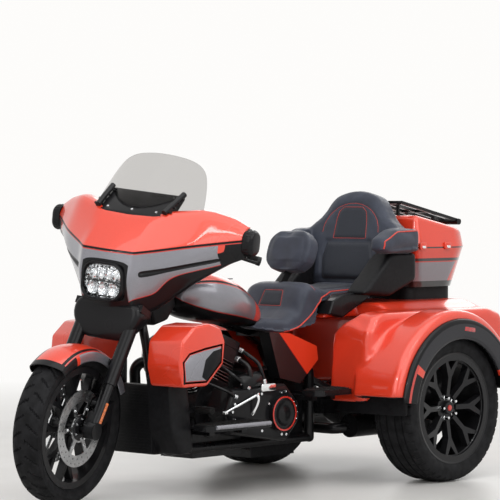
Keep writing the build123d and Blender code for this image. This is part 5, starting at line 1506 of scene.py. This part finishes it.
class TRIKE_OT_controls(bpy.types.Operator):
    """Fit the levers, switch housings, mirrors, dials and fork reflectors"""

    bl_idname = "trike.controls"
    bl_label = "Controls"

    def execute(self, context):
        start, end = Vector((480, 352, 1072)), Vector((392, 462, 1038))
        along = (end - start).normalized()
        bm = bmesh.new()
        rod(bm, [(start - along * 34) * MM, (start + along * 12) * MM], 0.022, smooth=False)
        rod(bm, [(end - along * 10) * MM, (end + along * 6) * MM], 0.020, smooth=False)
        lever = ((505, 330, 1074), (512, 362, 1068), (478, 412, 1052), (436, 464, 1036), (424, 474, 1034))
        rod(bm, [Vector(p) * MM for p in lever], 0.006, 1)
        rod(bm, [(start - along * 20) * MM, Vector(lever[0]) * MM, Vector(lever[1]) * MM], 0.011)
        both_sides(bm)
        piece("lever_sets", bm, ("gloss_black", "black_metal"), "front_end", turn=True)

        bm = bmesh.new()
        slab(bm, [(500 + a, MIRROR_Z + b) for a, b in rounded(90, 108, 38)], 458, 503, bevel=20, segments=5)
        both_sides(bm)
        piece("mirror_shells", bm, ("gloss_black",), "front_end", ("mirrors",), turn=True)

        bm = bmesh.new()
        plan = [(478 + a, MIRROR_Z + b) for a, b in rounded(28, 84, 13)]
        slab(bm, plan, 453, 456, "X", bevel=1.2, segments=2)
        both_sides(bm)
        piece("mirror_glass", bm, ("chrome",), "front_end", turn=True)

        bm = bmesh.new()
        for y, z, r, x in DIALS:
            at = Vector((x, y, z)) * MM
            turned_disc(bm, ((r + 6, -8), (r + 6, 6), (r, 8), (r - 3, 2), (r * 0.5, 2), (0, 2)), at, (-1, 0, 0.12),
                        40)
            turned_disc(bm, ((r - 3, 2.4), (r - 5, 3.2), (0, 3.4)), at, (-1, 0, 0.12), 40, 1 if r < 50 else 2)
        slab(bm, [(a, 1128 + b) for a, b in rounded(150, 96, 12)], 666, 656, "X", 1, 3)
        bmesh.ops.recalc_face_normals(bm, faces=bm.faces)
        piece("dash_dials", bm, ("gloss_black", "lamp_glass", "black_plastic"), "front_end",
              turn=True)

        bm = bmesh.new()
        for side in (-1, 1):
            rod(bm, [Vector((x, side * 141, z)) * MM for x, z in ((974, 432), (1018, 352))], 0.008, smooth=False)
        piece("fork_reflectors", bm, ("amber_lens",), "front_end", turn=True)
        return {"FINISHED"}


class TRIKE_OT_luggage(bpy.types.Operator):
    """Fit the top box's latches, hinges and plinth, the trunk door's handle and plate, and the lamp rims"""

    bl_idname = "trike.luggage"
    bl_label = "Luggage fittings"

    def execute(self, context):
        bm = bmesh.new()
        for x in (-930, -1110):
            slab(bm, [(x + a, 1034 + b) for a, b in rounded(46, 34, 8, 3)], 277, 286, bevel=3)
            slab(bm, [(x + a, 1030 + b) for a, b in rounded(24, 12, 4, 3)], 285, 290, material=1, bevel=2)
        piece("lid_latches", bm, ("orange_paint", "chrome"), "top_box_lid_body")

        bm = bmesh.new()
        slab(bm, [(-1090 + x, y) for x, y in rounded(330, 400, 60)], 780, 850, "Z", bevel=8)
        piece("box_plinth", bm, ("black_plastic",), "chassis")

        bm = bmesh.new()
        for x in (-960, -1140):
            rod(bm, [Vector((x - 30, -281, 1030)) * MM, Vector((x + 30, -281, 1030)) * MM], 0.007, smooth=False)
        piece("lid_hinges", bm, ("black_metal",), "chassis")

        bm = bmesh.new()
        slab(bm, [(y, 560 + z) for y, z in rounded(196, 116, 8, 3)], -1323, -1328, "X", 0, 1.5)
        slab(bm, [(y, 560 + z) for y, z in rounded(180, 100, 5, 3)], -1326, -1329, "X", 1, 0.8)
        slab(bm, [(y, 690 + z) for y, z in rounded(130, 30, 12, 4)], -1322, -1332, "X", 0, 4)
        bmesh.ops.recalc_face_normals(bm, faces=bm.faces)
        piece("door_handle", bm, ("gloss_black", "graphite_paint"), "trunk_door_body")

        bm = bmesh.new()
        rows = ((92, 138, 28, -1290), (94, 140, 29, -1318), (88, 134, 27, -1326), (76, 122, 22, -1326),
                (74, 120, 21, -1316))
        loft(bm, [[(x, 378 + y, 620 + z) for y, z in rounded(w, h, r)] for w, h, r, x in rows], closed=True)
        both_sides(bm)
        piece("lamp_rims", bm, ("gloss_black",), "chassis")
        return {"FINISHED"}


# Passenger's backrest and rider's pad: place and lean, then seams as millimetres across and up their faces
BACK_FOOT = Vector((-0.702, 0.0, 0.866))
BACK_LEAN = radians(12.0)
BACK_PANEL = ((-98, 208), (98, 208), (90, 300), (80, 334), (56, 354), (-56, 354), (-80, 334), (-90, 300))
BACK_PAD = ((-132, 192), (132, 192), (152, 120), (140, 14), (-140, 14), (-152, 120))
BACK_BORDER = tuple((-168.0 * cos(radians(a)), 236.0 + 136.0 * sin(radians(a))) for a in range(0, 181, 12))
PAD_CENTRE = Vector((-0.345, 0.0, 1.015))
PAD_LEAN = radians(18.0)
PAD_BORDER = ((-98, -58), (98, -58), (104, 0), (88, 62), (-88, 62), (-104, 0))
# Seat: the panel behind the rider as Y and Z, the cross seam and the passenger's panel as X and Y
LUMBAR_PANEL = ((-66, 778), (66, 778), (54, 846), (-54, 846))
CROSS_SEAM = ((-310, -178), (-310, 178))
PILLION_PANEL = ((-360, -112), (-640, -128), (-640, 128), (-360, 112))
# Piping along the sides as X and Z
SEAT_PIPING = ((-84, 662), (-194, 690), (-290, 752), (-348, 812), (-440, 836), (-576, 842), (-640, 850))
ARM_PIPING = ((-606, 1016), (-612, 1060), (-700, 1102), (-846, 1106))
EVEN_PASSES = 24
CLOTH_PRESSURE = 4.0
CLOTH_FRAMES = 20
STITCH_R = 0.0010
STITCH_LIFT = 0.0003


def leaning(centre, lean):
    """Axes of a backrest: across, up its face and out of it."""
    return centre, Vector((0, 1, 0)), Vector((-sin(lean), 0, cos(lean))), Vector((cos(lean), 0, sin(lean)))


def path_distance(points, path, closed):
    """How far each point is from a path, and for a closed path how far inside it lies."""
    path = np.array(path, float) * MM
    ends = np.roll(path, -1, axis=0) if closed else path[1:]
    starts = path if closed else path[:-1]
    near = np.full(len(points), 1e3)
    inside = np.zeros(len(points), bool)
    for a, b in zip(starts, ends):
        d = b - a
        t = np.clip(((points - a) @ d) / (d @ d), 0.0, 1.0)
        near = np.minimum(near, np.linalg.norm(points - a - t[:, None] * d, axis=1))
        crosses = (a[1] > points[:, 1]) != (b[1] > points[:, 1])
        with np.errstate(divide="ignore", invalid="ignore"):
            at = a[0] + (points[:, 1] - a[1]) * d[0] / d[1]
        inside ^= crosses & (points[:, 0] < at)
    return near, inside if closed else np.zeros(len(points), bool)


class Cushion:
    """A padded piece: an even mesh of its CAD form, swollen by simulation and sewn."""

    def __init__(self, node, voxel, relax):
        self.node = node
        self.mesh = softened(node, voxel, relax)
        self.panel = np.zeros(len(self.mesh.vertices))

    def places(self, mesh=None):
        return places_of(mesh or self.mesh)

    def normals(self):
        flat = np.empty(len(self.mesh.vertices) * 3)
        self.mesh.vertices.foreach_get("normal", flat)
        return flat.reshape(-1, 3)

    def set_places(self, places):
        self.mesh.vertices.foreach_set("co", places.reshape(-1))
        self.mesh.update()

    def swell(self, cap):
        """Blow the pad up under cloth, no point further than the cap, and none downwards."""
        start = self.places()
        holder = held(self.mesh)
        cloth = holder.modifiers.new("Swell", "CLOTH")
        cloth.settings.use_pressure = True
        cloth.settings.uniform_pressure_force = CLOTH_PRESSURE
        cloth.settings.effector_weights.gravity = 0.0
        cloth.point_cache.frame_start = 1
        cloth.point_cache.frame_end = CLOTH_FRAMES
        scene = bpy.context.scene
        for at in range(1, CLOTH_FRAMES + 1):
            scene.frame_set(at)
        swollen = holder.evaluated_get(bpy.context.evaluated_depsgraph_get())
        moved = self.places(swollen.data) - start
        scene.frame_set(1)
        holder.modifiers.remove(cloth)
        bpy.data.objects.remove(holder)
        moved = self.evened(moved)
        far = np.linalg.norm(moved, axis=1, keepdims=True)
        moved *= np.minimum(1.0, cap / np.maximum(far, 1e-9))
        moved[self.normals()[:, 2] < -0.4] = 0.0
        self.set_places(start + moved)

    def evened(self, moved):
        """Moves averaged with their neighbours', so that the hide lies without creases."""
        ends = np.empty(len(self.mesh.edges) * 2, int)
        self.mesh.edges.foreach_get("vertices", ends)
        a, b = ends.reshape(-1, 2).T
        count = np.bincount(ends, minlength=len(moved))[:, None]
        for _ in range(EVEN_PASSES):
            total = np.zeros_like(moved)
            np.add.at(total, a, moved[b])
            np.add.at(total, b, moved[a])
            moved = (moved + total / count) / 2
        return moved

    def ease(self, axes, rule):
        """Move the pad's points across and up its face by a rule."""
        centre, across, up, _ = (np.array(v) for v in axes)
        places = self.places()
        a, b = (places - centre) @ across, (places - centre) @ up
        new_a, new_b = rule(a, b)
        self.set_places(places + np.outer(new_a - a, across) + np.outer(new_b - b, up))

    def sew(self, axes, path, closed, depth, width, textured=False):
        """Draw a seam into the face that looks along the axes' normal, and mark the panel inside it."""
        centre, across, up, out = axes
        places, normals = self.places(), self.normals()
        local = places - np.array(centre)
        flat = np.stack((local @ np.array(across), local @ np.array(up)), axis=1)
        faces = normals @ np.array(out) > 0.25
        near, inside = path_distance(flat, path, closed)
        pull = depth * np.exp(-(near / width) ** 2) * faces
        self.set_places(places - normals * pull[:, None])
        if textured:
            self.panel = np.maximum(self.panel, np.where(faces & inside, near, 0.0))

    def finish(self, name, body, fill):
        bm = bmesh.new()
        bm.from_mesh(self.mesh)
        panel = bm.verts.layers.float.new("panel")
        for v, inset in zip(bm.verts, self.panel):
            v[panel] = inset
        made = piece(name, bm, ("seat_leather",), body, (self.node,), sharp=80.0)
        bpy.data.meshes.remove(self.mesh)
        subdivide(made, 1)
        return made


def laid_on(made, starts, toward, lift):
    """Points cast on to a piece along a direction and lifted off it a little, in metres."""
    tree = BVHTree.FromObject(made, bpy.context.evaluated_depsgraph_get())
    hits = [tree.ray_cast(start, toward)[0] for start in starts]
    return [hit - toward * lift for hit in hits if hit is not None]


def finer(path, parts):
    """A path with more points along its runs."""
    points = [path[0]]
    for a, b in zip(path, path[1:]):
        points += [tuple(p + (q - p) * k / parts for p, q in zip(a, b)) for k in range(1, parts + 1)]
    return points


class TRIKE_OT_seats(bpy.types.Operator):
    """Swell and sew the seat and both backrests, and run their piping"""

    bl_idname = "trike.seats"
    bl_label = "Seats"

    def execute(self, context):
        sizes = context.scene.trike_sizes
        seat = Cushion("seat", 0.0065, 26)
        self.dish(seat)
        seat.swell(sizes.puff)
        facing = (Vector((0, 0, 0)), Vector((0, 1, 0)), Vector((0, 0, 1)), Vector((1, 0, 0.2)).normalized())
        seat.sew(facing, LUMBAR_PANEL, True, sizes.seam, 0.007, textured=True)
        above = (Vector((0, 0, 0)), Vector((1, 0, 0)), Vector((0, 1, 0)), Vector((0, 0, 1)))
        seat.sew(above, CROSS_SEAM, False, sizes.seam, 0.008)
        seat.sew(above, PILLION_PANEL, True, sizes.seam, 0.008, textured=True)
        made = seat.finish("seat_cushion", "chassis", 0.85)
        self.pipe("seat_piping", made, SEAT_PIPING, sizes.piping)
        ahead, down = Vector((-1, 0, 0)), Vector((0, 0, -1))
        panel = [Vector((0.3, y * MM, z * MM)) for y, z in finer(LUMBAR_PANEL + LUMBAR_PANEL[:1], 8)]
        cross = [Vector((-0.31, y, 1.3)) for y in np.linspace(-0.17, 0.17, 24)]
        rows = [(made, panel, ahead), (made, cross, down)]

        pad = Cushion("rider_backrest", 0.005, 30)
        pad.ease(leaning(PAD_CENTRE, PAD_LEAN), self.pillow)
        pad.swell(sizes.puff)
        pad.sew(leaning(PAD_CENTRE, PAD_LEAN), PAD_BORDER, True, sizes.seam * 0.3, 0.006)
        pad.finish("rider_pad", "chassis", 0.9)

        back = Cushion("passenger_backrest", 0.0068, 40)
        face = leaning(BACK_FOOT, BACK_LEAN)
        back.ease(face, self.dome)
        back.swell(sizes.puff)
        back.sew(face, BACK_PAD, True, sizes.seam * 2.2, 0.010, textured=True)
        back.sew(face, BACK_PANEL, True, sizes.seam, 0.007, textured=True)
        back.sew(face, BACK_BORDER, False, sizes.seam, 0.007)
        made = back.finish("passenger_back", "chassis", 0.9)
        self.pipe("arm_piping", made, ARM_PIPING, sizes.piping)
        centre, across, up, out = face
        for path in (BACK_PANEL + BACK_PANEL[:1], BACK_BORDER):
            starts = [centre + (across * a + up * b) * MM + out * 0.4 for a, b in finer(path, 8)]
            rows.append((made, starts, -out))

        bm = bmesh.new()
        for cushion, starts, toward in rows:
            rod(bm, laid_on(cushion, starts, toward, STITCH_LIFT), STITCH_R)
        piece("stitching", bm, ("piping",), "chassis")
        return {"FINISHED"}

    @staticmethod
    def dish(seat):
        """Round the seat off to its sides, and hollow it where the rider sits."""
        places = seat.places()
        upper = seat.normals()[:, 2] > -0.2
        share = np.abs(places[:, 1]) / 0.19
        places[:, 2] -= np.where(upper, 0.016 * np.minimum(share, 1.1) ** 4, 0.0)
        hollow = np.exp(-((places[:, 0] + 0.11) / 0.09) ** 2) * np.exp(-(places[:, 1] / 0.11) ** 2)
        places[:, 2] -= np.where(upper, 0.012 * hollow, 0.0)
        seat.set_places(places)

    @staticmethod
    def pillow(a, b):
        """Draw a pad's corners in, so that its outline is nearly an oval."""
        corner = np.minimum(1.0, np.abs(a) / 0.12) ** 2 * np.minimum(1.0, np.abs(b) / 0.085) ** 2
        return a * (1.0 - 0.12 * corner), b * (1.0 - 0.12 * corner)

    @staticmethod
    def dome(a, b):
        """Round the backrest's top into a dome."""
        high = np.clip((b - 0.25) / 0.13, 0.0, 1.0)
        lift = 0.012 - 0.036 * np.minimum(1.25, np.abs(a) / 0.14) ** 2
        return a, b + lift * smooth_step(high)

    @staticmethod
    def pipe(name, cushion, path, radius):
        bm = bmesh.new()
        for side in (-1, 1):
            starts = [Vector((x * MM, side * 0.6, z * MM)) for x, z in finer(path, 4)]
            rod(bm, laid_on(cushion, starts, Vector((0, -side, 0)), radius * 0.35), radius)
        piece(name, bm, ("piping",), "chassis")


class TRIKE_OT_stage(bpy.types.Operator):
    """Set the floor, the lights and the camera"""

    bl_idname = "trike.stage"
    bl_label = "Stage"

    # Softboxes and strips: place, aim, width, height and share of the key light's power
    LAMPS = (
        ("overhead", (0.8, 1.8, 5.5), (0.0, 0.0, 0.4), 9.0, 5.4, 1.1),
        ("front", (6.5, 2.0, 3.5), (0.3, 0.0, 0.6), 4.6, 2.8, 0.38),
        ("side", (0.5, 6.5, 3.2), (-0.3, 0.0, 0.6), 5.0, 3.0, 0.42),
        ("rear", (-6.0, -3.0, 4.0), (-0.3, 0.0, 0.6), 5.0, 3.0, 0.45),
        ("strip left", (0.6, 3.6, 3.4), (0.0, 0.0, 0.6), 3.6, 0.10, 0.10),
        ("strip ahead", (4.4, 0.6, 3.2), (0.4, 0.0, 0.8), 3.0, 0.10, 0.09),
    )
    # The floor fades into the wall between these distances from the trike
    FADE = (3.0, 6.5)
    # Camera: place, bearing and tilt in degrees, the point of the picture that it looks at and the picture's side
    EYE = (8.0659, 7.6298, 1.2521)
    BEARING, TILT = 46.0, 3.137
    LOOKS_AT = (212.8, 337.2)
    PICTURE = 500.0
    SENSOR = 36.0

    @staticmethod
    def looked_at(tree):
        """1 for rays from the camera, in a mirror or through glass."""
        rays = tree.nodes.new("ShaderNodeLightPath")
        seen = rays.outputs["Is Camera Ray"]
        for kind in ("Is Glossy Ray", "Is Transmission Ray"):
            either = tree.nodes.new("ShaderNodeMath")
            either.operation = "MAXIMUM"
            tree.links.new(seen, either.inputs[0])
            tree.links.new(rays.outputs[kind], either.inputs[1])
            seen = either.outputs["Value"]
        return seen

    def ground(self, stage):
        """Pale floor that turns into the wall's white with distance."""
        coat = Coat("floor", tuple(stage.floor), 0.34)
        coat.speckle(coat.noise(0.8), 0.02)
        coat.wear(coat.noise(2.0), 0.05)
        x, y, _ = coat.axes()
        away = coat.maths("SQRT", coat.maths("ADD", coat.maths("MULTIPLY", x, x), coat.maths("MULTIPLY", y, y)))
        fade = coat.maths("MULTIPLY", coat.span(away, *self.FADE, 0.0, 1.0), self.looked_at(coat.tree))
        wall = coat.node("ShaderNodeEmission")
        wall.inputs["Color"].default_value = (*stage.wall, 1.0)
        choose = coat.node("ShaderNodeMixShader")
        coat.tree.links.new(fade, choose.inputs["Fac"])
        coat.tree.links.new(coat.shader.outputs["BSDF"], choose.inputs[1])
        coat.tree.links.new(wall.outputs["Emission"], choose.inputs[2])
        coat.tree.links.new(choose.outputs["Shader"], coat.tree.nodes["Material Output"].inputs["Surface"])
        return coat.material

    def execute(self, context):
        stage = context.scene.trike_stage
        bm = bmesh.new()
        bmesh.ops.create_grid(bm, x_segments=8, y_segments=8, size=30.0)
        mesh = bpy.data.meshes.new("floor")
        bm.to_mesh(mesh)
        bm.free()
        floor = bpy.data.objects.new("floor", mesh)
        context.scene.collection.objects.link(floor)
        mesh.materials.append(self.ground(stage))

        world = bpy.data.worlds.new("studio")
        world.use_nodes = True
        tree = world.node_tree
        back = tree.nodes["Background"]
        back.inputs["Color"].default_value = (1.0, 0.99, 0.98, 1.0)
        back.inputs["Strength"].default_value = stage.sky
        seen = tree.nodes.new("ShaderNodeBackground")
        seen.inputs["Color"].default_value = (*stage.wall, 1.0)
        choose = tree.nodes.new("ShaderNodeMixShader")
        tree.links.new(self.looked_at(tree), choose.inputs["Fac"])
        tree.links.new(back.outputs["Background"], choose.inputs[1])
        tree.links.new(seen.outputs["Background"], choose.inputs[2])
        tree.links.new(choose.outputs["Shader"], tree.nodes["World Output"].inputs["Surface"])
        context.scene.world = world

        for name, at, aim, width, height, share in self.LAMPS:
            light = bpy.data.lights.new(name, "AREA")
            light.shape = "RECTANGLE"
            light.size = width
            light.size_y = height
            light.energy = stage.key * share
            lamp = bpy.data.objects.new(name, light)
            lamp.location = at
            lamp.rotation_euler = (Vector(at) - Vector(aim)).to_track_quat("Z", "Y").to_euler()
            context.scene.collection.objects.link(lamp)

        bearing, tilt = radians(self.BEARING), radians(self.TILT)
        ahead = -Vector((sin(bearing) * cos(tilt), cos(bearing) * cos(tilt), sin(tilt)))
        right = ahead.cross(Vector((0, 0, 1))).normalized()
        up = right.cross(ahead)
        focal = stage.lens / self.SENSOR * self.PICTURE
        off_x, off_y = ((self.PICTURE / 2 - at) / focal for at in self.LOOKS_AT)
        aim = ahead + right * off_x - up * off_y
        camera = bpy.data.cameras.new("camera")
        camera.lens = stage.lens
        camera.sensor_width = self.SENSOR
        camera.clip_end = 100.0
        holder = bpy.data.objects.new("camera", camera)
        holder.location = self.EYE
        holder.rotation_euler = (-aim).to_track_quat("Z", "Y").to_euler()
        context.scene.collection.objects.link(holder)
        context.scene.camera = holder
        context.scene.view_settings.view_transform = "Standard"
        return {"FINISHED"}


class TRIKE_PT_panel(bpy.types.Panel):
    """Steps of the trike, in order"""

    bl_idname = "TRIKE_PT_panel"
    bl_label = "Trike"
    bl_space_type = "VIEW_3D"
    bl_region_type = "UI"
    bl_category = "Trike"

    def draw(self, context):
        for group in ("trike_paint", "trike_sizes", "trike_stage"):
            settings = getattr(context.scene, group)
            for name in settings.__annotations__:
                self.layout.prop(settings, name)
        for step in STEPS:
            self.layout.operator(step.bl_idname)


STEPS = (
    TRIKE_OT_finishes, TRIKE_OT_fairing, TRIKE_OT_nacelle, TRIKE_OT_headlamp, TRIKE_OT_screen, TRIKE_OT_tank,
    TRIKE_OT_fender, TRIKE_OT_lowers, TRIKE_OT_tyres, TRIKE_OT_wheel_trim, TRIKE_OT_fender_bands, TRIKE_OT_body,
    TRIKE_OT_engine, TRIKE_OT_footboards, TRIKE_OT_controls, TRIKE_OT_luggage, TRIKE_OT_seats, TRIKE_OT_stage,
)
GROUPS = (("trike_paint", TrikePaint), ("trike_sizes", TrikeSizes), ("trike_stage", TrikeStage))


def register():
    for name, group in GROUPS:
        bpy.utils.register_class(group)
        setattr(bpy.types.Scene, name, PointerProperty(type=group))
    for step in STEPS:
        bpy.utils.register_class(step)
    bpy.utils.register_class(TRIKE_PT_panel)


def unregister():
    bpy.utils.unregister_class(TRIKE_PT_panel)
    for step in reversed(STEPS):
        bpy.utils.unregister_class(step)
    for name, group in reversed(GROUPS):
        delattr(bpy.types.Scene, name)
        bpy.utils.unregister_class(group)


def main():
    register()
    for step in STEPS:
        family, name = step.bl_idname.split(".")
        getattr(getattr(bpy.ops, family), name)()


if __name__ == "__main__":
    main()
